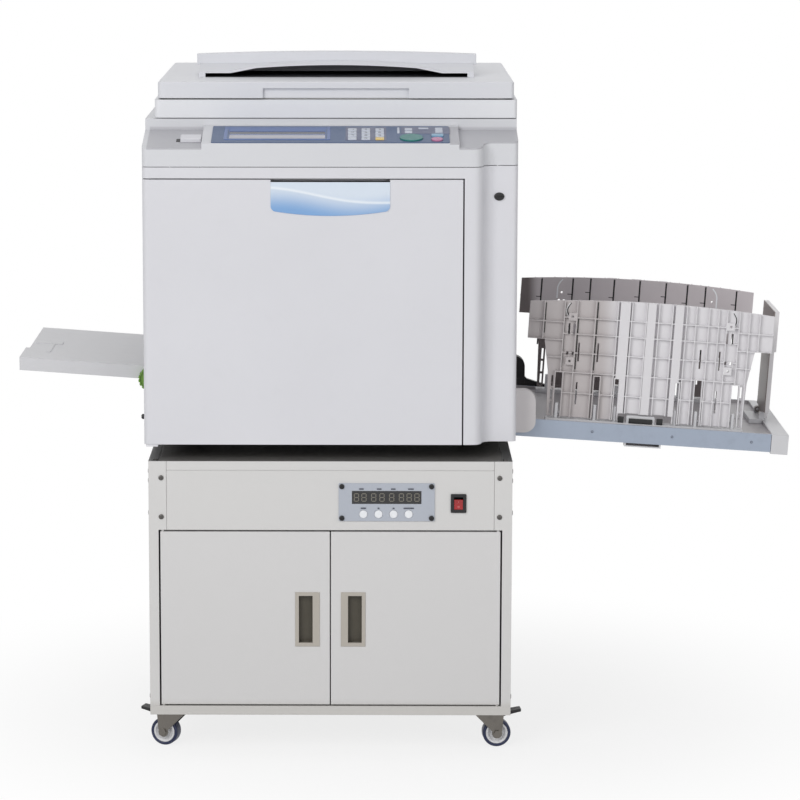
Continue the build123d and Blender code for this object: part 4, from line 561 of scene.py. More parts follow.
@dataclass(frozen=True)
class Plaque:
    """Printed film of the door's plaque: pale above, a blue wave below, with no words."""

    name: str
    centre: Pair
    half: Pair
    deep: Triple = (120, 164, 214)
    pale: Triple = (216, 226, 238)
    streak: Triple = (240, 245, 250)
    worn: Triple = (150, 170, 200)
    turns: float = 2.4
    start: float = 0.6
    swell: float = 0.28
    fade: Pair = (-1.0, 0.55)
    ray_slope: float = 0.35
    ray_drop: float = 0.15
    ray_swell: float = 0.6
    ray_in: Pair = (-0.12, 0.0)
    ray_out: Pair = (0.0, 0.16)
    ray_share: float = 0.75
    rubbing: Pattern = Pattern(150.0, 3.0, 0.6)
    rubbed_share: float = 0.06
    haze: Pattern = Pattern(40.0)
    haze_rough: float = 0.08
    roughness: float = 0.2
    edge: float = 0.0008
    coat: Pair = (0.5, 0.1)

    def material(self) -> bpy.types.Material:
        """Builds the material.

        The wave is a sine of the place across. The ray is a streak along a slope that follows it.

        Returns:
            The new material.
        """
        shader = Shader(self.name)
        across = (shader.axis(0) - self.centre[0]) / self.half[0]
        up = (shader.axis(2) - self.centre[1]) / self.half[1]
        wave = (across * self.turns + self.start).sine() * self.swell
        ray = up + across * self.ray_slope - self.ray_drop + wave * self.ray_swell
        streak = ray.ramp(*self.ray_in) * (1.0 - ray.ramp(*self.ray_out))
        base = shader.mix((up + wave).ramp(*self.fade), linear(self.deep), linear(self.pale))
        base = shader.mix(streak * self.ray_share, base, linear(self.streak))
        base = shader.mix(shader.noise(self.rubbing) * self.rubbed_share, base, linear(self.worn))
        rough = shader.noise(self.haze) * self.haze_rough + self.roughness
        return shader.finish(Base_Color=base, Roughness=rough, Normal=shader.soft_edge(self.edge)[0],
                             Coat_Weight=self.coat[0], Coat_Roughness=self.coat[1])


@dataclass(frozen=True)
class Window:
    """Liquid crystal under its cover: a painted shadow at its far edge, dark and grading through
    blue, over a pale grey field.
    """

    name: str
    near: float
    far: float
    crystal: Triple = (176, 175, 182)
    blue: Triple = (92, 112, 156)
    shadow: Triple = (28, 36, 58)
    worn: Triple = (90, 96, 104)
    blue_from: Pair = (0.38, 0.47)
    shadow_from: Pair = (0.47, 0.56)
    cells: Pattern = Pattern(900.0, 1.0)
    cell_share: float = 0.05
    haze: Pattern = Pattern(60.0)
    haze_rough: float = 0.06
    roughness: float = 0.12
    coat: Pair = (0.6, 0.04)

    def material(self) -> bpy.types.Material:
        """Builds the material.

        Returns:
            The new material.
        """
        shader = Shader(self.name)
        depth = (shader.axis(1) - self.near) / (self.far - self.near)
        base = shader.mix(depth.ramp(*self.blue_from), linear(self.crystal), linear(self.blue))
        base = shader.mix(depth.ramp(*self.shadow_from), base, linear(self.shadow))
        base = shader.mix(shader.noise(self.cells) * self.cell_share, base, linear(self.worn))
        rough = shader.noise(self.haze) * self.haze_rough + self.roughness
        return shader.finish(Base_Color=base, Roughness=rough, Coat_Weight=self.coat[0],
                             Coat_Roughness=self.coat[1])


DECK_ALONG = (0.0, -math.tan(math.radians(11.81)), 1.0)
# Zones of painted shade on the sloping decks beside the raised console.
DECK_SHADE = (Zone(DECK_ALONG, 1.1455, 1.1405), Zone(DECK_ALONG, 1.1345, 1.1375), Zone(Y, -0.214, -0.219))
GUIDE = {"roughness": 0.36, "relief": 0.08}
FINISHES = {finish.name: finish for finish in (
    Moulded("body_plastic", (220, 220, 225)),
    # Painted shade in a darker grey: on the decks left and right of the console, and on the console's
    # right border.
    Moulded("top_plastic", (215, 216, 220), zone_colour=(182, 182, 187), zones=(
        (*DECK_SHADE, Zone(X, -0.4475, -0.4445), Zone(X, -0.3505, -0.3525)),
        (*DECK_SHADE, Zone(X, 0.0895, 0.0910)),
        (Zone(DECK_ALONG, 1.1440, 1.1452), Zone(Y, -0.2270, -0.2290), Zone(X, 0.0738, 0.0748),
         Zone(X, 0.0910, 0.0895)))),
    # The body plastic made paler for the scanner's housing: painted light against the shade under the
    # cover.
    Moulded("scanner_plastic", (229, 230, 234)),
    # Painted shade inside the pocket for originals: a dark grey on the lid's top under the pocket's
    # arch and on the pocket's inner faces.
    Moulded("lid_plastic", (220, 221, 226), zone_colour=(92, 93, 98), zones=((
        Zone(Z, 1.1752, 1.1758), Zone(Y, -0.0895, -0.0885), Zone(Y, 0.262, 0.258),
        Zone(X, -0.357, -0.355), Zone(X, 0.113, 0.111)),)),
    Moulded("pocket_plastic", (220, 221, 226), zone_colour=(92, 93, 98), zones=((
        Zone((0.0, -0.1797, 1.0), 1.2009, 1.2001), Zone(Y, -0.0905, -0.0895),
        Zone(X, -0.363, -0.361), Zone(X, 0.119, 0.117)),)),
    # Painted shade: the top faces of the shell's rim, under the machine, are dark grey.
    Coated("cabinet_paint", (214, 213, 212), zone_colour=(92, 92, 92),
           zones=((Zone(Z, 0.5254, 0.5258),),)),
    Coated("door_paint", (214, 213, 213)),
    Coated("cabinet_top_paint", (104, 102, 100), roughness=0.5),
    Coated("dark_paint", (58, 57, 56), roughness=0.5, zone_colour=(226, 226, 230),
           zones=((Zone(X, -0.4215, -0.4235), Zone(Z, 0.560, 0.556)),)),
    Moulded("panel_blue", (84, 102, 134), roughness=0.34, relief=0.06),
    Gloss("window_bevel_blue", (78, 104, 158), 0.28),
    # A darker copy of the panel blue: painted shade for the recess round the keys.
    Gloss("panel_deep_blue", (84, 90, 118), 0.34),
    Moulded("tray_grey", (210, 210, 213), roughness=0.38),
    # Painted shade on the tray's top between the guides, near the body.
    Moulded("delivery_grey", (210, 210, 213), roughness=0.38, zone_colour=(174, 171, 174),
            zones=((Zone(Y, -0.182, -0.178), Zone(X, 0.655, 0.650)),)),
    # Painted shade on the left part of the front guide.
    Moulded("guide_grey", (224, 222, 225), zone_colour=(186, 180, 180),
            zones=((Zone(X, 0.385, 0.345),),), **GUIDE),
    # Painted shade on the rear guide: its left end, its lower part, and low down on its left.
    Moulded("rear_guide_grey", (202, 195, 198), zone_colour=(112, 104, 104), zones=(
        (Zone(X, 0.255, 0.232),), (Zone(Z, 0.690, 0.645),),
        (Zone(X, 0.300, 0.285), Zone(Z, 0.742, 0.730))), **GUIDE),
    # Painted shade on the end plate's inner face.
    Moulded("end_plate_grey", (226, 224, 226), zone_colour=(122, 113, 110),
            zones=((Zone((0.998, 0.0, -0.0645), 0.6168, 0.6158),),), **GUIDE),
    # Painted shade: the rear arm, behind the tray, is made near black.
    Moulded("arm_beige", (212, 208, 209), roughness=0.45, zone_colour=(34, 33, 34),
            zones=((Zone(Y, 0.05, 0.10),),)),
    # Painted shade deeper in the pulls' pockets.
    Moulded("pull_beige", (182, 176, 167), roughness=0.40, relief=0.08, zone_colour=(76, 71, 60),
            zones=((Zone(Y, -0.3262, -0.3190),),)),
    Moulded("black_plastic", (26, 26, 28), roughness=0.40, relief=0.10),
    Metal("strip_paint", (158, 168, 184), 0.36, Brushed.ALONG_X, 0.35),
    Metal("counter_plate_metal", (176, 181, 191), 0.38, Brushed.ALONG_X, 0.30, 0.1),
    Metal("screw_steel", (96, 94, 92), 0.36),
    Metal("zinc_plate", (114, 110, 105), tarnish=0.4),
    Metal("drum_mesh_steel", (176, 178, 182), brushed=Brushed.ALONG_Y),
    Rubber("roller_rubber", (34, 34, 37)),
    Rubber("tyre_blue", (8, 24, 62), 0.40, 0.04),
    Gloss("hub_white", (228, 228, 230)),
    Gloss("knob_green", (98, 146, 28)),
    Gloss("start_green", (4, 112, 106)),
    Gloss("proof_cyan", (126, 168, 196), 0.22),
    Gloss("stop_pink", (190, 118, 156), 0.22),
    Gloss("key_white", (196, 202, 214)),
    Gloss("key_yellow", (226, 196, 112)),
    Gloss("button_white", (236, 238, 242), 0.20),
    Gloss("rocker_red", (160, 8, 16), 0.16),
    Gloss("mark_white", (214, 128, 128), 0.35),
    Gloss("digit_unlit", (116, 112, 102)),
    Gloss("display_lens", (20, 20, 22), 0.08),
    Gloss("print_dark", (64, 68, 82), 0.40),
    Moulded("pad_white", (232, 232, 228), roughness=0.6, relief=0.25),
    Clear("platen_clear", (0.80, 0.88, 0.85)),
)}


@cache
def material_of(finish: str) -> bpy.types.Material:
    """Material of a named finish, built on first use."""
    return FINISHES[finish].material()


@dataclass(frozen=True)
class Seat:
    """A place on the object: an origin and three square directions, right, up and outwards."""

    origin: Triple = (0.0, 0.0, 0.0)
    right: Triple = X
    up: Triple = Z

    def points(self, local: np.ndarray) -> np.ndarray:
        """Turns local right, up and outward offsets into positions.

        Args:
            local: Array of any shape by 3, in millimetres.

        Returns:
            The positions in metres, in the same shape.
        """
        right = np.array(self.right) / np.linalg.norm(self.right)
        up = np.array(self.up) / np.linalg.norm(self.up)
        way = local[..., 0:1] * right + local[..., 1:2] * up + local[..., 2:3] * np.cross(right, up)
        return np.array(self.origin) + way * MM


class Mesh:
    """Mesh data gathered from numpy grids, then made into one object."""

    def __init__(self) -> None:
        """Starts with no points and no faces."""
        self.points: list[np.ndarray] = []
        self.faces: list[np.ndarray] = []
        self.caps: list[list[int]] = []
        self.count = 0

    def grid(self, points: np.ndarray, around: bool = False, closed: bool = False,
             caps: tuple[bool, bool] = (False, False)) -> None:
        """Adds a grid of points as a surface.

        A face joins point (i, j) with its neighbours at (i + 1, j) and (i, j + 1), so a grid of
        n by m points gives n - 1 by m - 1 faces, and one more each way where it closes.

        Args:
            points: Array of n by m by 3 positions.
            around: Whether the second direction closes on itself.
            closed: Whether the first direction closes on itself.
            caps: Whether the first row, and the last, are each closed by one face.
        """
        rows, cols = points.shape[:2]
        index = np.arange(rows * cols).reshape(rows, cols) + self.count
        right = np.roll(index, -1, axis=1)
        above, above_right = np.roll(index, -1, axis=0), np.roll(right, -1, axis=0)
        quads = np.stack([index, right, above_right, above], axis=-1)
        quads = quads[:rows if closed else rows - 1, :cols if around else cols - 1]
        self.points.append(points.reshape(-1, 3))
        self.faces.append(quads.reshape(-1, 4))
        ends = (index[0, ::-1], index[-1])
        self.caps += [end.tolist() for end, capped in zip(ends, caps) if capped]
        self.count += rows * cols

    def solid(self, seat: Seat, rings: Iterable[np.ndarray]) -> None:
        """Adds rings of points on a seat as a solid, closed at both ends."""
        self.grid(seat.points(np.array(list(rings))), around=True, caps=(True, True))

    def build(self, name: str, material: bpy.types.Material,
              sharp: float = SHARP) -> bpy.types.Object:
        """Makes the object, at the origin, with its place in its mesh.

        Args:
            name: The object's name.
            material: Its material.
            sharp: Angle in degrees above which an edge stays sharp.

        Returns:
            The new object.
        """
        data = bpy.data.meshes.new(name)
        faces = np.concatenate(self.faces).tolist() + self.caps
        data.from_pydata(np.concatenate(self.points).tolist(), [], faces)
        shape = bmesh.new()
        shape.from_mesh(data)
        bmesh.ops.remove_doubles(shape, verts=shape.verts, dist=WELD)
        shape.to_mesh(data)
        shape.free()
        data.polygons.foreach_set("use_smooth", np.ones(len(data.polygons), bool))
        data.set_sharp_from_angle(angle=math.radians(sharp))
        data.materials.append(material)
        data.validate()
        data.update()
        made = bpy.data.objects.new(name, data)
        bpy.context.scene.collection.objects.link(made)
        return made


def raised(flat: np.ndarray, level: float) -> np.ndarray:
    """Flat points on a seat, all lifted to one level."""
    return np.concatenate([flat, np.full((len(flat), 1), level)], axis=1)


def rounded_outline(half: Pair, radius: float, steps: int = 6) -> np.ndarray:
    """Outline of a rectangle with round corners, anticlockwise.

    Each corner is a quarter circle of the radius about the corner's own centre.

    Args:
        half: Half of the width and of the height.
        radius: Corner radius.
        steps: Points along each corner.

    Returns:
        Array of 4 steps by 2 points.
    """
    turn = np.linspace(0.0, math.pi / 2, steps)
    corner = np.arange(4)[:, None] * math.pi / 2 + turn[None, :]
    centre = np.array([[1, 1], [-1, 1], [-1, -1], [1, -1]]) * (np.array(half) - radius)
    ring = np.stack([np.cos(corner), np.sin(corner)], axis=-1) * radius + centre[:, None, :]
    return ring.reshape(-1, 2)


@dataclass(frozen=True)
class Pad:
    """A raised pad: a rounded rectangle with a rounded upper edge, closed on both sides."""

    radius: float
    height: float
    edge: float
    base: float = 0.0
    steps: int = 6
    edge_steps: int = 5
    least_radius: float = 0.25

    def add(self, mesh: Mesh, seat: Seat, centre: Pair, half: Pair) -> None:
        """Adds one pad.

        Its rings are the outline drawn in by edge times one minus cosine, and lifted by edge times
        sine, over a quarter turn, on a straight wall from the base.

        Args:
            mesh: The mesh to add to.
            seat: Where the pad lies.
            centre: Its middle on the seat.
            half: Half of its width and height.
        """
        turn = np.linspace(0.0, math.pi / 2, self.edge_steps)
        drawn = np.concatenate([[0.0], self.edge * (1.0 - np.cos(turn))])
        lift = np.concatenate([[self.base], self.height - self.edge + self.edge * np.sin(turn)])
        corner = np.maximum(self.radius - drawn, self.radius * self.least_radius)
        outlines = (rounded_outline((half[0] - d, half[1] - d), r, self.steps) + np.array(centre)
                    for d, r in zip(drawn, corner))
        mesh.solid(seat, (raised(flat, level) for flat, level in zip(outlines, lift)))


def turned(mesh: Mesh, seat: Seat, profile: Iterable[Pair], around: int) -> None:
    """Adds a closed profile of radius and height carried round the seat's outward axis.

    Args:
        mesh: The mesh to add to.
        seat: Where it stands, on its axis.
        profile: Radius and height of each ring, back to the first.
        around: Points in a ring.
    """
    angle = np.arange(around) * 2 * math.pi / around
    rings = np.array(profile)
    flat = rings[:, None, 0:1] * np.stack([np.cos(angle), np.sin(angle)], axis=-1)[None]
    lift = np.repeat(rings[:, 1:2], around, axis=1)[..., None]
    mesh.grid(seat.points(np.concatenate([flat, lift], axis=-1)), around=True, closed=True)


class Recess(Enum):
    """Driver's recess in a round head."""

    CROSS = "cross"
    SLOT = "slot"


@dataclass(frozen=True)
class Head:
    """A domed head with a driver's recess, closed below.

    The groove and what follows the recess are shares of the radius, and the dome is the share of
    its height that the head falls by towards its rim.
    """

    radii: Pair
    height: float
    groove: float
    depth: float
    recess: Recess = Recess.CROSS
    reach: float = 0.70
    lip: float = 0.03
    wall: float = 0.02
    lines: Pair = (0.4, 0.86)
    dome: float = 0.4

    def add(self, mesh: Mesh, seat: Seat, centre: Pair = (0.0, 0.0)) -> None:
        """Adds one head.

        A square grid of s and t becomes a disc by x = s times the root of 1 - t t / 2, and y
        likewise. Its height falls by the dome with the square of the way from the middle, and by
        the depth where s or t is within the groove. A wall of the grid's border goes down to the
        seat.

        Args:
            mesh: The mesh to add to.
            seat: Where the head sits.
            centre: Its middle on the seat.
        """
        near, far = self.lines
        side = np.array([self.groove, self.groove + self.lip, near, self.reach,
                         self.reach + self.wall, far, 1.0])
        s, t = np.meshgrid(*(np.concatenate([-side[::-1], side]),) * 2, indexing="xy")
        right, up = s * np.sqrt(1 - t * t / 2), t * np.sqrt(1 - s * s / 2)
        inside = np.maximum(np.abs(s), np.abs(t)) < self.reach + self.wall / 2
        bar = np.abs(t) < self.groove + self.lip / 2
        if self.recess is Recess.CROSS:
            bar = bar | (np.abs(s) < self.groove + self.lip / 2)
        lift = self.height * (1.0 - self.dome * (right ** 2 + up ** 2))
        lift -= self.depth * (bar & inside)
        across, along = right * self.radii[0] + centre[0], up * self.radii[1] + centre[1]
        top = np.stack([across, along, lift], axis=-1)
        mesh.grid(seat.points(top))
        rim = np.concatenate([top[0, :-1], top[:-1, -1], top[-1, :0:-1], top[:0:-1, 0]])
        foot = rim * np.array([1.0, 1.0, 0.0])
        mesh.grid(seat.points(np.stack([foot, rim])), around=True, caps=(True, False))


@dataclass(frozen=True)
class Band:
    """A flat band along a path, whose section is a rectangle square to the path's direction."""

    width: float
    height: float

    def add(self, mesh: Mesh, seat: Seat, path: np.ndarray) -> None:
        """Adds the band along one path.

        Args:
            mesh: The mesh to add to.
            seat: Where the band lies.
            path: Array of n by 2 points on the seat.
        """
        way = np.gradient(path, axis=0)
        side = np.stack([-way[:, 1], way[:, 0]], axis=1)
        side *= self.width / 2 / np.linalg.norm(way, axis=1)[:, None]
        corners = ((1, 0.0), (1, self.height), (-1, self.height), (-1, 0.0))
        mesh.solid(seat, np.stack([raised(path + side * k, lift) for k, lift in corners], axis=1))


BARS: dict[str, str] = {"0": "tmsabcd", "1": "bd", "2": "tmsbc", "3": "tmsbd", "4": "mabd",
                        "5": "tmsad", "6": "tmsacd", "7": "tbd", "8": "tmsabcd", "9": "tmsabd"}


@dataclass(frozen=True)
class Digit:
    """A digit of up to seven bars, each a slim six-sided bar with pointed ends."""

    width: float
    height: float
    bar: float
    lift: float = 0.25
    sunk: float = -0.1
    gap: float = 0.2

    def add(self, mesh: Mesh, seat: Seat, centre: Pair, number: str) -> None:
        """Adds one digit.

        A bar's outline runs from its two tips to its four shoulders, drawn in by half its width.
        The letters t, m and s are the bars at the top, middle and foot, a to d the upright ones, row
        by row.

        Args:
            mesh: The mesh to add to.
            seat: Where the digit lies.
            centre: Its middle on the seat.
            number: The digit.
        """
        half_w, half_h, reach = self.width / 2, self.height / 2, self.bar / 2
        places = {"t": (0.0, half_h), "m": (0.0, -half_h if number == "0" else 0.0),
                  "s": (0.0, -half_h), "a": (-half_w, half_h / 2), "b": (half_w, half_h / 2),
                  "c": (-half_w, -half_h / 2), "d": (half_w, -half_h / 2)}
        for letter in BARS[number]:
            upright = letter in "abcd"
            end = (half_h / 2 if upright else half_w) - self.gap * self.bar
            tips = np.array([[-end, 0], [reach - end, -reach], [end - reach, -reach], [end, 0],
                             [end - reach, reach], [reach - end, reach]])
            if upright:
                tips = tips[::-1, ::-1]
            flat = tips + np.array(places[letter]) + np.array(centre)
            mesh.solid(seat, (raised(flat, level) for level in (self.sunk, self.lift)))


@dataclass
class Assembly:
    """A sub-assembly: it dresses the CAD nodes that wear a finish and adds its own pieces."""

    frame: dict[str, Any]
    wears: ClassVar[dict[str, tuple[str, ...]]] = {}

    def build(self) -> None:
        """Dresses the nodes and adds the pieces."""
        for finish, nodes in self.wears.items():
            for node in nodes:
                self.cover(node, material_of(finish))
        self.pieces()

    def pieces(self) -> None:
        """Adds the pieces that the CAD leaves to the scene, none here."""

    def cover(self, node: str, material: bpy.types.Material) -> None:
        """Puts one material on every slot of a CAD node.

        Args:
            node: Name of the node.
            material: What it wears.
        """
        shown = self.frame["nodes"][node]
        if not shown.material_slots:
            shown.data.materials.append(material)
        for slot in shown.material_slots:
            slot.material = material

    def front_seat(self, node: str) -> Seat:
        """Seat on the middle of a node's front face."""
        low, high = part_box(node)
        return Seat(((low.x + high.x) / 2, low.y, (low.z + high.z) / 2))

    def add(self, mesh: Mesh, name: str, finish: str, body: str, slot: str,
            stands_for: Iterable[str] = (), sharp: float = SHARP) -> None:
        """Makes a piece and lets it ride on its body.

        Args:
            mesh: Its gathered surfaces.
            name: Its name.
            finish: Name of its finish.
            body: The CAD body that it moves with.
            slot: The record's material slot; not used.
            stands_for: CAD nodes that it replaces.
            sharp: Angle in degrees above which an edge stays sharp.
        """
        piece = mesh.build(name, material_of(finish), sharp)
        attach(piece, body)
        if stands_for:
            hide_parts(*stands_for)
        log.info("%s: %d faces on %s", name, len(piece.data.polygons), body)


@dataclass
class Cabinet(Assembly):
    """Steel cabinet: shell, doors with their pulls, and the screws that hold its panels."""

    wears = {"cabinet_paint": ("cabinet_shell", "cabinet_floor", "cabinet_front_panel"),
             "door_paint": ("cabinet_door_left", "cabinet_door_right"),
             "cabinet_top_paint": ("cabinet_top",),
             "pull_beige": ("cabinet_pull_left", "cabinet_pull_right")}
    screw: Head = Head((4.5, 4.5), 2.2, 0.16, 1.0)
    ear_in: float = 22.0
    ear_z: Pair = (427.5, 496.5)
    side_y: float = 22.0
    side_z: Four = (102.0, 431.0, 488.0, 505.0)
    top_in: Pair = (12.0, 11.0)

    def pieces(self) -> None:
        """Cross-recessed pan heads on the ears, the sides and the rim of the top."""
        mesh = Mesh()
        low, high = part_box("cabinet_screws")
        proud, ear, (top_x, top_y) = self.screw.height * MM, self.ear_in * MM, self.top_in
        left, right, front = low.x + proud, high.x - proud, low.y + proud
        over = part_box("cabinet_shell")[1].z
        seats = [Seat((x, front, z * MM)) for x in (left + ear, right - ear) for z in self.ear_z]
        for z in self.side_z:
            for x, way in ((left, -1.0), (right, 1.0)):
                seats.append(Seat((x, front + self.side_y * MM, z * MM), (0.0, way, 0.0)))
        for x in (left + top_x * MM, right - top_x * MM):
            seats.append(Seat((x, front + top_y * MM, over), up=Y))
        for seat in seats:
            self.screw.add(mesh, seat)
        self.add(mesh, "cabinet_screw_heads", "screw_steel", "cabinet", "steel", ["cabinet_screws"])


@dataclass
class CounterUnit(Assembly):
    """Counter on the cabinet's front: plate, display with unlit digits, buttons, mains switch."""

    wears = {"counter_plate_metal": ("counter_plate",), "display_lens": ("counter_display",),
             "button_white": tuple(f"counter_button_{i}" for i in range(1, 5)),
             "black_plastic": ("switch_bezel",), "rocker_red": ("power_rocker",)}
    digit: Digit = Digit(7.6, 13.2, 1.5)
    digit_places: tuple[float, ...] = (-52.6, -39.5, -22.6, -8.2, 8.7, 25.6, 39.1, 52.6)
    corner: Pair = (78.0, 28.0)
    corner_screw: Head = Head((4.6, 4.6), 2.4, 0.15, 1.1)
    dash: Pad = Pad(0.3, 0.15, 0.05, -0.1, 2)
    dash_half: float = 1.1
    dashes: tuple[Triple, ...] = (
        (-44.0, 23.5, 4.0), (-13.0, 23.5, 4.0), (11.5, 23.5, 4.0), (42.0, 23.5, 5.0),
        (-40.5, -10.5, 4.5), (-14.2, -10.5, 1.6), (12.1, -10.5, 1.6), (38.4, -10.5, 9.0))
    rocker_half: float = 9.0
    rocker_dip: float = 2.0
    rocker_tilt: float = 8.0
    rocker_pivot: float = 8.0
    rocker_proud: float = 5.0
    line: Pad = Pad(0.2, 0.15, 0.05, -0.1, 3)
    line_half: Pair = (0.35, 1.5)
    ring: Four = (1.4, 0.35, 0.15, 0.05)
    ring_around: int = 28

    def pieces(self) -> None:
        """Adds what is printed and screwed on, in this order: digits, dashes, screws, marks."""
        mesh, seat = Mesh(), self.front_seat("counter_display")
        for place in self.digit_places:
            self.digit.add(mesh, seat, (place, 0.0), "8")
        self.add(mesh, "counter_digits", "digit_unlit", "cabinet", "black_plastic")
        mesh, seat = Mesh(), self.front_seat("counter_plate")
        for right, up, half in self.dashes:
            self.dash.add(mesh, seat, (right, up), (half, self.dash_half))
        self.add(mesh, "counter_marks", "print_dark", "cabinet", "black_plastic")
        mesh = Mesh()
        for side, over in product((-1, 1), (-1, 1)):
            self.corner_screw.add(mesh, seat, (side * self.corner[0], over * self.corner[1]))
        self.add(mesh, "counter_screws", "black_plastic", "cabinet", "black_plastic")
        self.rocker_marks()

    def rocker_face(self, side: int) -> Seat:
        """Seat on one of the rocker's two faces, worked out from its tilt about its pin.

        A face runs from the rocker's waist to its end. The waist lies nearer to the pin by the dip.

        Args:
            side: One for the upper face, minus one for the lower.

        Returns:
            The seat on the middle of the face.
        """
        tilt = math.radians(self.rocker_tilt)
        reach = self.rocker_pivot + self.rocker_proud - self.rocker_half * math.sin(tilt)
        end = np.array([-reach / math.cos(tilt), side * self.rocker_half])
        waist = np.array([end[0] + self.rocker_dip, 0.0])
        turn = np.array([[math.cos(tilt), -math.sin(tilt)], [math.sin(tilt), math.cos(tilt)]])
        middle, way = turn @ ((end + waist) / 2), turn @ ((end - waist) * side)
        bezel = self.front_seat("switch_bezel").origin
        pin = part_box("cabinet_screws")[0].y + (Cabinet.screw.height + self.rocker_pivot) * MM
        origin = (bezel[0], pin + middle[0] * MM, bezel[2] + middle[1] * MM)
        return Seat(origin, up=(0.0, way[0], way[1]))

    def rocker_marks(self) -> None:
        """Line and ring for on and off, on the rocker's two faces."""
        mesh = Mesh()
        self.line.add(mesh, self.rocker_face(1), (0.0, 0.0), self.line_half)
        reach, half_w, half_h, radius = self.ring
        section = rounded_outline((half_w, half_h), radius, 2) + np.array([reach, 0.0])
        turned(mesh, self.rocker_face(-1), section, self.ring_around)
        self.add(mesh, "rocker_marks", "mark_white", "power_rocker", "rocker_red")


@dataclass
class Castors(Assembly):
    """Four castors: forks, brake pedals and wheels with a blue tyre round a white hub."""

    wears = {"zinc_plate": ("castor_mounts", "castor_fork_front_left", "castor_fork_front_right"),
             "black_plastic": ("castor_pedal_front_left", "castor_pedal_front_right")}
    tyre_r: float = 25.0
    tyre_half: float = 11.0
    tyre_round: float = 2.8
    hub_r: float = 19.0
    hub_side: tuple[Pair, ...] = ((19.6, 9.6), (18.4, 10.4), (16.4, 10.2), (15.2, 8.6), (13.0, 5.6),
                                  (9.0, 4.4), (7.4, 6.4), (6.8, 10.6), (4.05, 10.6))
    around: int = 48
    headings: dict[str, float] = field(default_factory=lambda: {
        "front_left": 162.0, "front_right": 5.0, "rear_left": 180.0, "rear_right": 0.0})

    def pieces(self) -> None:
        """Tyre, a rounded section carried round the axle, and hub, with a dished web each side."""
        half_r = (self.tyre_r - self.hub_r) / 2
        tread = rounded_outline((half_r, self.tyre_half), self.tyre_round)
        tread += np.array([self.hub_r + half_r, 0.0])
        web = [(r, -h) for r, h in reversed(self.hub_side)] + list(self.hub_side)
        for name, heading in self.headings.items():
            body, turn = f"castor_wheel_{name}", math.radians(heading)
            low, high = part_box(body)
            seat = Seat(tuple((low + high) / 2), (math.cos(turn), math.sin(turn), 0.0))
            tyre, hub = Mesh(), Mesh()
            turned(tyre, seat, tread, self.around)
            turned(hub, seat, web, self.around)
            self.add(tyre, f"castor_tyre_{name}", "tyre_blue", body, "wheel", [body], sharp=40.0)
            self.add(hub, f"castor_hub_{name}", "hub_white", body, "wheel", sharp=25.0)


@dataclass
class Housing(Assembly):
    """Body of the duplicator: covers, front door with its plaque and lock, frame inside."""

    wears = {"body_plastic": ("front_frame", "front_door", "left_cover", "right_cover",
                              "rear_cover"),
             "dark_paint": ("machine_frame",)}
    lock: Head = Head((8.9, 7.1), 2.2, 0.12, 1.2, Recess.SLOT)
    lock_at: Triple = (32.5, 35.8, 984.0)
    stop: Head = Head((4.5, 4.5), 6.0, 0.16, 0.8)
    stop_at: Pair = (20.0, 46.0)

    def pieces(self) -> None:
        """Prints the plaque's film and adds the lock and the stop on the left side."""
        low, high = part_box("door_plaque")
        centre, half = (low + high) / 2, (high - low) / 2
        film = Plaque("plaque_film", (centre.x, centre.z), (half.x, half.z))
        self.cover("door_plaque", film.material())
        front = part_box("front_frame")
        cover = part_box("left_cover")[0]
        in_x, in_y, at_z = self.lock_at
        lock_seat = Seat((front[1].x - in_x * MM, front[0].y + in_y * MM, at_z * MM))
        stop_y, stop_z = front[0].y + self.stop_at[0] * MM, cover.z + self.stop_at[1] * MM
        stop_seat = Seat((cover.x, stop_y, stop_z), (0.0, -1.0, 0.0))
        for name, head, seat in (("door_lock", self.lock, lock_seat),
                                 ("side_stop", self.stop, stop_seat)):
            mesh = Mesh()
            head.add(mesh, seat)
            self.add(mesh, name, "black_plastic", "cabinet", "black_plastic")


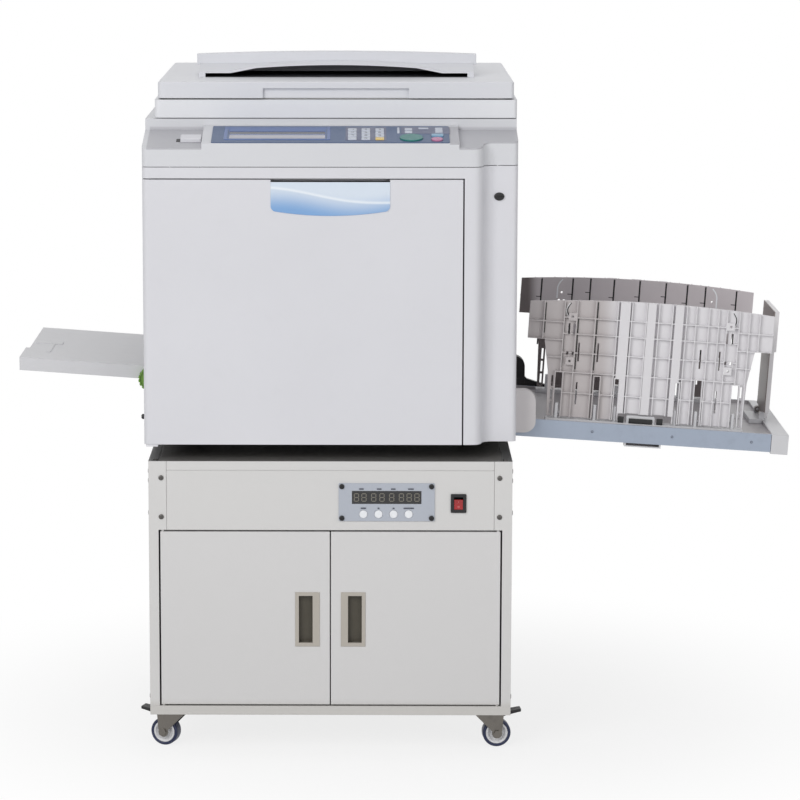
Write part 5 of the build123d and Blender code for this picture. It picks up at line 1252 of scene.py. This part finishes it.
@dataclass
class Console(Assembly):
    """Control console on the top cover: blue panel, display window and keys."""

    wears = {"top_plastic": ("top_cover",), "panel_blue": ("control_panel",),
             "start_green": ("start_key",), "proof_cyan": ("proof_key",),
             "stop_pink": ("stop_key",), "body_plastic": ("release_lever",)}
    slope: float = 11.81
    rise: float = 8.5
    panel_t: float = 1.5
    window_at: Pair = (-92.0, 4.0)
    window_half: Pair = (84.0, 30.0)
    bevel: tuple[Four, ...] = (
        (8.0, 0.0, -0.1, 4.0), (7.4, 0.0, 0.8, 4.0), (5.0, 0.0, 1.1, 3.0), (-1.5, -6.5, -1.35, 1.5))
    columns: Triple = (37.4, 60.8, 84.7)
    rows: Four = (23.7, 6.0, -11.8, -29.5)
    numbers: str = "123456789 0 "
    clear_key: int = 11
    key: Pad = Pad(1.5, 1.7, 0.5)
    key_half: Pair = (7.4, 7.0)
    field_pad: Pad = Pad(2.0, 0.3, 0.1, -0.1)
    field_rim: Triple = (4.0, 10.5, 2.0)
    side_field: Four = (163.5, 22.0, 42.0, 20.0)
    small_key: Pad = Pad(1.0, 1.2, 0.4)
    small_keys: tuple[Four, ...] = (
        (117.0, 21.0, 2.1, 16.5), (134.5, 28.0, 6.4, 6.0), (134.5, 11.5, 6.4, 6.0),
        (160.5, 33.5, 8.6, 3.4), (187.0, 32.5, 6.4, 4.0), (187.0, 22.0, 6.4, 4.0),
        (187.0, 11.5, 6.4, 4.0))
    digit: Digit = Digit(3.4, 6.6, 0.8, 0.12)
    slot_at: Pair = (-4.2, -5.7)
    slot_half: Pair = (3.4, 9.5)
    slot_pad: Pad = Pad(0.8, 0.15, 0.05, -0.2, 3)

    def seat(self, right: float = 0.0, up: float = 0.0, out: float = 0.0) -> Seat:
        """Seat on the panel's top.

        Args:
            right: Move to the right.
            up: Move up the slope.
            out: Move away from the panel.

        Returns:
            The moved seat.
        """
        low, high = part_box("control_panel")
        tilt = math.radians(self.slope)
        flat = Seat(tuple((low + high) / 2), up=(0.0, math.cos(tilt), math.sin(tilt)))
        return Seat(tuple(flat.points(np.array([right, up, out + self.panel_t / 2]))), up=flat.up)

    def keypad(self) -> None:
        """Number keys in three columns on a darker field of painted shade, with their digits and a
        clear key.
        """
        fields, white, yellow, ink = Mesh(), Mesh(), Mesh(), Mesh()
        seat, face = self.seat(), self.seat(out=self.key.height)
        side, over, under = self.field_rim
        left = self.columns[0] - self.key_half[0] - side
        right = self.columns[-1] + self.key_half[0] + side
        top, foot = self.rows[0] + self.key_half[1] + over, self.rows[-1] - self.key_half[1] - under
        centre = (float(np.mean(self.columns)), (top + foot) / 2)
        # Painted shade: darker pads round the number keys and round the small keys.
        self.field_pad.add(fields, seat, centre, ((right - left) / 2, (top - foot) / 2))
        self.field_pad.add(fields, seat, self.side_field[:2], self.side_field[2:])
        for index, (up, right) in enumerate(product(self.rows, self.columns)):
            keys = yellow if index == self.clear_key else white
            self.key.add(keys, seat, (right, up), self.key_half)
            if self.numbers[index] != " ":
                self.digit.add(ink, face, (right, up), self.numbers[index])
        for key in self.small_keys:
            self.small_key.add(white, seat, key[:2], key[2:])
        self.add(fields, "keypad_field", "panel_deep_blue", "cabinet", "panel_blue")
        self.add(white, "keypad_keys", "key_white", "cabinet", "button_white")
        self.add(yellow, "keypad_clear_key", "key_yellow", "cabinet", "button_white")
        self.add(ink, "keypad_digits", "print_dark", "cabinet", "black_plastic")

    def window(self) -> None:
        """Bevelled rim round the display: a ring whose inner side slopes down, widest far off.

        Each ring is the window's outline, grown, drawn down at its far edge and put on its level.
        """
        mesh, rings = Mesh(), []
        half_w, half_h = self.window_half
        for grow, down, level, radius in self.bevel:
            flat = rounded_outline((half_w + grow, half_h + grow + down), radius)
            rings.append(raised(flat + np.array(self.window_at) + np.array([0.0, down]), level))
        mesh.grid(self.seat().points(np.array(rings)), around=True, closed=True)
        self.add(mesh, "window_bevel", "window_bevel_blue", "cabinet", "panel_blue", sharp=30.0)
        low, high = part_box("lcd_screen")
        self.cover("lcd_screen", Window("lcd_window", low.y, high.y).material())

    def lever_slot(self) -> None:
        """Painted shade in the open end of the slot that the release lever slides in: a black pad on
        the deck beside the console.
        """
        mesh, (low, high) = Mesh(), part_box("control_panel")
        right = (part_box("release_lever")[0].x - (low.x + high.x) / 2) / MM + self.slot_at[0]
        out = -self.panel_t - self.rise * math.cos(math.radians(self.slope))
        seat = self.seat(right, self.slot_at[1], out)
        self.slot_pad.add(mesh, seat, (0.0, 0.0), self.slot_half)
        self.add(mesh, "lever_slot_end", "black_plastic", "cabinet", "black_plastic")

    def pieces(self) -> None:
        """Adds the keys, the window's rim and the painted shade at the end of the lever's slot."""
        self.keypad()
        self.window()
        self.lever_slot()


@dataclass
class Scanner(Assembly):
    """Flatbed scanner on the top: housing, glass, cover with its pad and pocket for originals."""

    # The housing wears a paler copy of the body plastic, which is painted light.
    wears = {"scanner_plastic": ("scanner_housing",), "lid_plastic": ("platen_cover",),
             "pocket_plastic": ("cover_pocket",), "platen_clear": ("platen_glass",),
             "pad_white": ("platen_pad",)}


@dataclass
class Mechanism(Assembly):
    """Drum, rollers and the carriage behind the front door."""

    wears = {"black_plastic": ("drum_carriage",), "drum_mesh_steel": ("drum_screen",),
             "roller_rubber": ("pressure_cylinder", "pickup_roller")}


@dataclass
class FeedSide(Assembly):
    """Feed tray on the left with its turn knob and the raised step at its outer end."""

    wears = {"tray_grey": ("feed_tray",), "knob_green": ("side_shift_knob",)}
    slope: float = 4.0
    step: Pad = Pad(3.0, 1.0, 0.5, -0.3)
    steps: tuple[tuple[Pair, Pair], ...] = (
        ((36.0, 196.0), (25.0, 17.0)), ((44.0, 132.0), (4.0, 50.0)))

    def pieces(self) -> None:
        """Adds the step and the rib beside it."""
        mesh, (low, high) = Mesh(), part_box("feed_tray")
        fall = -math.tan(math.radians(self.slope))
        seat = Seat((low.x, low.y, high.z), (1.0, 0.0, fall), Y)
        for centre, half in self.steps:
            self.step.add(mesh, seat, centre, half)
        self.add(mesh, "feed_tray_step", "tray_grey", "feed_tray", "tray_grey")


@dataclass
class DeliverySide(Assembly):
    """Delivery tray on the right with its guides, end plate and steel strips.

    Places along the tray are measured from the middle of its guides, heights from its hinge line.
    """

    wears = {"arm_beige": ("delivery_arms",), "delivery_grey": ("delivery_tray",),
             "strip_paint": ("delivery_rails",), "guide_grey": ("front_guide",),
             "rear_guide_grey": ("rear_guide",), "end_plate_grey": ("end_plate",),
             "tray_grey": ("front_guide_carriage", "rear_guide_carriage", "end_plate_carriage")}
    start: Triple = (193.0, -327.5, 580.5)
    fall: float = 3.7
    guide_mid: float = 233.0
    guide_half: float = 217.0
    strip_y: float = 137.0
    latch_y: float = 150.0
    plate_y: float = 162.0
    joint_y: float = 162.3
    rear_y: float = 493.0
    strip_screw: Head = Head((2.5, 2.5), 1.2, 0.17, 0.5)
    strip_screws: Triple = (-92.0, 50.0, 191.0)
    strip_screw_h: float = -16.0
    # Painted shade in the rear guide's grooves, with its ticks.
    rear_groove_shade: Band = Band(2.4, 0.8)
    rear_groove_shades: tuple[float, ...] = (-179.0, -121.0, -88.0, -44.0, 4.0, 53.0, 93.0, 127.0, 185.0)
    rear_h: Triple = (84.0, 205.0, 10.0)
    tick: Band = Band(1.4, 1.15)
    tick_reach: float = 9.0
    tick_down: tuple[float, ...] = (34.0, 30.0, 26.0)
    # Painted shadows of the front guide's ribs: place across, low end and high end.
    front_rib_shadow: Band = Band(2.2, 0.8)
    front_rib_shadows: tuple[Triple, ...] = (
        (-188.5, 152.0, 206.0), (-153.9, 92.0, 208.0), (-129.3, 90.0, 181.0), (-96.4, 90.0, 212.0))
    slit: Band = Band(1.7, 0.9)
    slit_x: Pair = (146.0, 6.0)
    slit_h: Pair = (181.0, 208.0)
    slit_shade: Band = Band(1.6, 0.5)
    shade_in: float = 1.9
    rear_slit: Band = Band(2.4, 1.25)
    rear_slit_x: Pair = (149.0, 9.0)
    rear_slit_h: Pair = (36.0, 1.0)
    bend_steps: int = 13
    latch: tuple[tuple[Pad, Pair, Pair], ...] = (
        (Pad(1.0, 0.6, 0.3, -0.2), (-7.0, 5.6), (21.0, 4.6)),
        (Pad(1.0, 0.2, 0.2, -4.5), (-42.0, 6.6), (5.0, 5.4)),
        (Pad(1.0, 0.2, 0.2, -4.5), (27.0, 6.6), (5.5, 5.4)))
    # Outline of a black wedge of painted shade in the corner between the rear arm and the tray, then
    # the depths of its two faces.
    foot: tuple[Pair, ...] = (
        (221.0, 556.0), (269.0, 562.0), (269.0, 579.0), (235.0, 590.0), (221.0, 606.0))
    shade_wedge_y: Pair = (210.5, 197.5)

    def seat(self, depth: float) -> Seat:
        """Upright seat on the guides' middle, facing the front.

        Args:
            depth: Distance behind the machine's front.

        Returns:
            The seat at the tray's height.
        """
        fall = math.radians(self.fall)
        right, up = (math.cos(fall), 0.0, -math.sin(fall)), (math.sin(fall), 0.0, math.cos(fall))
        middle = np.array(self.start) + np.array(right) * self.guide_mid
        return Seat(tuple((middle + np.array([0.0, depth, 0.0])) * MM), right, up)

    def crown(self, x: float) -> float:
        """Height of the rear guide's edge, falling with the square of the way from its middle."""
        return self.rear_h[1] + self.rear_h[2] * (1.0 - (x / self.guide_half) ** 2)

    def joints(self) -> None:
        """Painted shade on both guides' faces: dark bands in the rear guide's grooves, each with a
        short tick beside it, and dark bands for the shadows of the front guide's ribs.
        """
        rear, seat = Mesh(), self.seat(self.rear_y)
        # Painted shade: a dark band in each of the rear guide's grooves.
        for index, x in enumerate(self.rear_groove_shades):
            self.rear_groove_shade.add(rear, seat, np.array([[x, self.rear_h[0]], [x, self.crown(x)]]))
            level = self.crown(x) - self.tick_down[index % 3]
            self.tick.add(rear, seat, np.array([[x - self.tick_reach, level], [x, level]]))
        self.add(rear, "rear_guide_joints", "black_plastic", "rear_guide", "black_plastic")
        front, seat = Mesh(), self.seat(self.joint_y)
        # Painted shadows of the front guide's ribs.
        for x, low, high in self.front_rib_shadows:
            self.front_rib_shadow.add(front, seat, np.array([[x, low], [x, high]]))
        self.add(front, "front_guide_joints", "dark_paint", "front_guide", "black_plastic")

    def slits(self) -> None:
        """Bent slits over the bosses of the front guide, each with a band of painted shade beside it,
        and through the crown of the rear one.

        On the front a slit bows out by half a sine turn. On the rear it runs straight up and bends
        inwards with the square of its height over half way.
        """
        share = np.linspace(0.0, 1.0, self.bend_steps)
        light, dark, rear = Mesh(), Mesh(), Mesh()
        front_seat, rear_seat = self.seat(self.plate_y), self.seat(self.rear_y)
        height = self.slit_h[0] + (self.slit_h[1] - self.slit_h[0]) * share
        bow = self.slit_x[0] + self.slit_x[1] * np.sin(share * math.pi)
        shade = bow - self.shade_in
        rear_top = self.crown(self.rear_slit_x[0]) - self.rear_slit_h[1]
        rear_height = rear_top + self.rear_slit_h[0] * (share - 1.0)
        bend = self.rear_slit_x[0] - self.rear_slit_x[1] * np.maximum(share * 2.0 - 1.0, 0.0) ** 2
        for side in (-1.0, 1.0):
            self.slit.add(light, front_seat, np.stack([side * bow, height], axis=1))
            # The dark band just inside each front slit is painted shade.
            self.slit_shade.add(dark, front_seat, np.stack([side * shade, height], axis=1))
            self.rear_slit.add(rear, rear_seat, np.stack([side * bend, rear_height], axis=1))
        self.add(light, "front_guide_slits", "hub_white", "front_guide", "tray_grey")
        self.add(dark, "front_guide_slit_shades", "black_plastic", "front_guide", "black_plastic")
        self.add(rear, "rear_guide_slits", "button_white", "rear_guide", "tray_grey")

    def pieces(self) -> None:
        """Adds the guides' painted shade and slits, the latch with its stops, screws and a black
        wedge of painted shade by the rear arm.
        """
        self.joints()
        self.slits()
        mesh, seat = Mesh(), self.seat(self.latch_y)
        for pad, centre, half in self.latch:
            pad.add(mesh, seat, centre, half)
        self.add(mesh, "front_guide_latch", "black_plastic", "front_guide_carriage", "black_plastic")
        mesh, seat = Mesh(), self.seat(self.strip_y)
        for x in self.strip_screws:
            self.strip_screw.add(mesh, seat, (x, self.strip_screw_h))
        self.add(mesh, "strip_screws", "print_dark", "cabinet", "black_plastic")
        # A black wedge of painted shade between the rear arm and the tray.
        mesh = Mesh()
        mesh.solid(Seat(), (raised(np.array(self.foot), -y) for y in self.shade_wedge_y))
        self.add(mesh, "rear_arm_foot", "black_plastic", "cabinet", "black_plastic")


@dataclass(frozen=True)
class Lamp:
    """A soft square area light."""

    name: str
    place: Triple
    size: float
    power: float

    def hang(self, aim: Triple) -> None:
        """Hangs the lamp and turns it to a point.

        Args:
            aim: The point that it faces.
        """
        data = bpy.data.lights.new(self.name, "AREA")
        data.size = self.size
        data.energy = self.power
        lamp = bpy.data.objects.new(self.name, data)
        lamp.location = self.place
        way = np.array(aim) - np.array(self.place)
        tilt = math.atan2(math.hypot(way[0], way[1]), -way[2])
        lamp.rotation_euler = (tilt, 0.0, math.atan2(way[1], way[0]) - math.pi / 2)
        bpy.context.scene.collection.objects.link(lamp)


@dataclass
class Studio:
    """White studio: floor, lights and the camera at the photograph's angle."""

    camera_at: Triple = (-0.0763, -6.1395, 1.572)
    pitch: float = 9.17
    yaw: float = -0.54
    shift: float = 0.0875
    lens: float = 153.0
    world: float = 0.36
    aim: Triple = (0.0, 0.0, 0.7)
    lamps: tuple[Lamp, ...] = (
        Lamp("key_light", (-2.2, -4.2, 2.9), 2.4, 112.0),
        Lamp("fill_light", (2.8, -3.6, 1.6), 2.6, 34.0),
        Lamp("top_light", (0.2, 0.6, 4.2), 2.4, 24.0))
    floor_half: float = 30.0
    floor_steps: int = 9
    floor_cloud: Pattern = Pattern(3.0)
    floor_share: float = 0.02
    floor_pale: Triple = (0.84, 0.84, 0.84)
    floor_speck: Triple = (0.82, 0.82, 0.82)
    white_from: float = 0.35
    white_to: float = 1.1
    white_low: float = 0.80

    def floor(self) -> None:
        """Pale floor that shows white to the camera and keeps the object's shadow."""
        mesh = Mesh()
        side = np.linspace(-self.floor_half, self.floor_half, self.floor_steps)
        right, back = np.meshgrid(side, side, indexing="xy")
        mesh.grid(np.stack([right, back, np.zeros_like(right)], axis=-1))
        shader = Shader("floor_white")
        specks = shader.noise(self.floor_cloud) * self.floor_share
        paint = shader.mix(specks, self.floor_pale, self.floor_speck)
        lit = shader.node("ShaderNodeBsdfDiffuse", inputs={"Color": paint})
        white = shader.node("ShaderNodeEmission", inputs={"Color": WHITE, "Strength": 1.0})
        right, back = shader.axis(0), shader.axis(1)
        far = (right * right + back * back).root().ramp(self.white_from, self.white_to)
        share = shader.seen() * (far * (1.0 - self.white_low) + self.white_low)
        mixed = shader.node("ShaderNodeMixShader", inputs={0: share, 1: lit, 2: white})
        mesh.build("studio_floor", shader.output(mixed))

    def backdrop(self) -> None:
        """World that lights evenly and shows white to the camera, in glass and in gloss."""
        shader = Shader("studio_world", bpy.data.worlds)
        dim, white = (
            shader.node("ShaderNodeBackground", inputs={"Color": WHITE, "Strength": strength})
            for strength in (self.world, 1.0))
        mixed = shader.node("ShaderNodeMixShader", inputs={0: shader.seen(), 1: dim, 2: white})
        bpy.context.scene.world = shader.output(mixed, "ShaderNodeOutputWorld")

    def camera(self) -> None:
        """Camera where the photograph was taken from."""
        data = bpy.data.cameras.new("camera")
        data.lens = self.lens
        data.sensor_width = SENSOR
        data.shift_x = self.shift
        camera = bpy.data.objects.new("camera", data)
        camera.location = self.camera_at
        camera.rotation_euler = (math.radians(90.0 - self.pitch), 0.0, math.radians(-self.yaw))
        bpy.context.scene.collection.objects.link(camera)
        bpy.context.scene.camera = camera

    def build(self) -> None:
        """Sets the studio up."""
        self.floor()
        self.backdrop()
        for lamp in self.lamps:
            lamp.hang(self.aim)
        self.camera()
        bpy.context.scene.view_settings.view_transform = "Standard"


def main() -> None:
    """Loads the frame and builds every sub-assembly."""
    logging.basicConfig(level=logging.INFO, format="%(name)s %(message)s")
    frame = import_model()
    Studio().build()
    for kind in (Cabinet, CounterUnit, Castors, Housing, Console, Scanner, Mechanism, FeedSide,
                 DeliverySide):
        kind(frame).build()
        log.info("%s is done", kind.__name__)


if __name__ == "__main__":
    main()
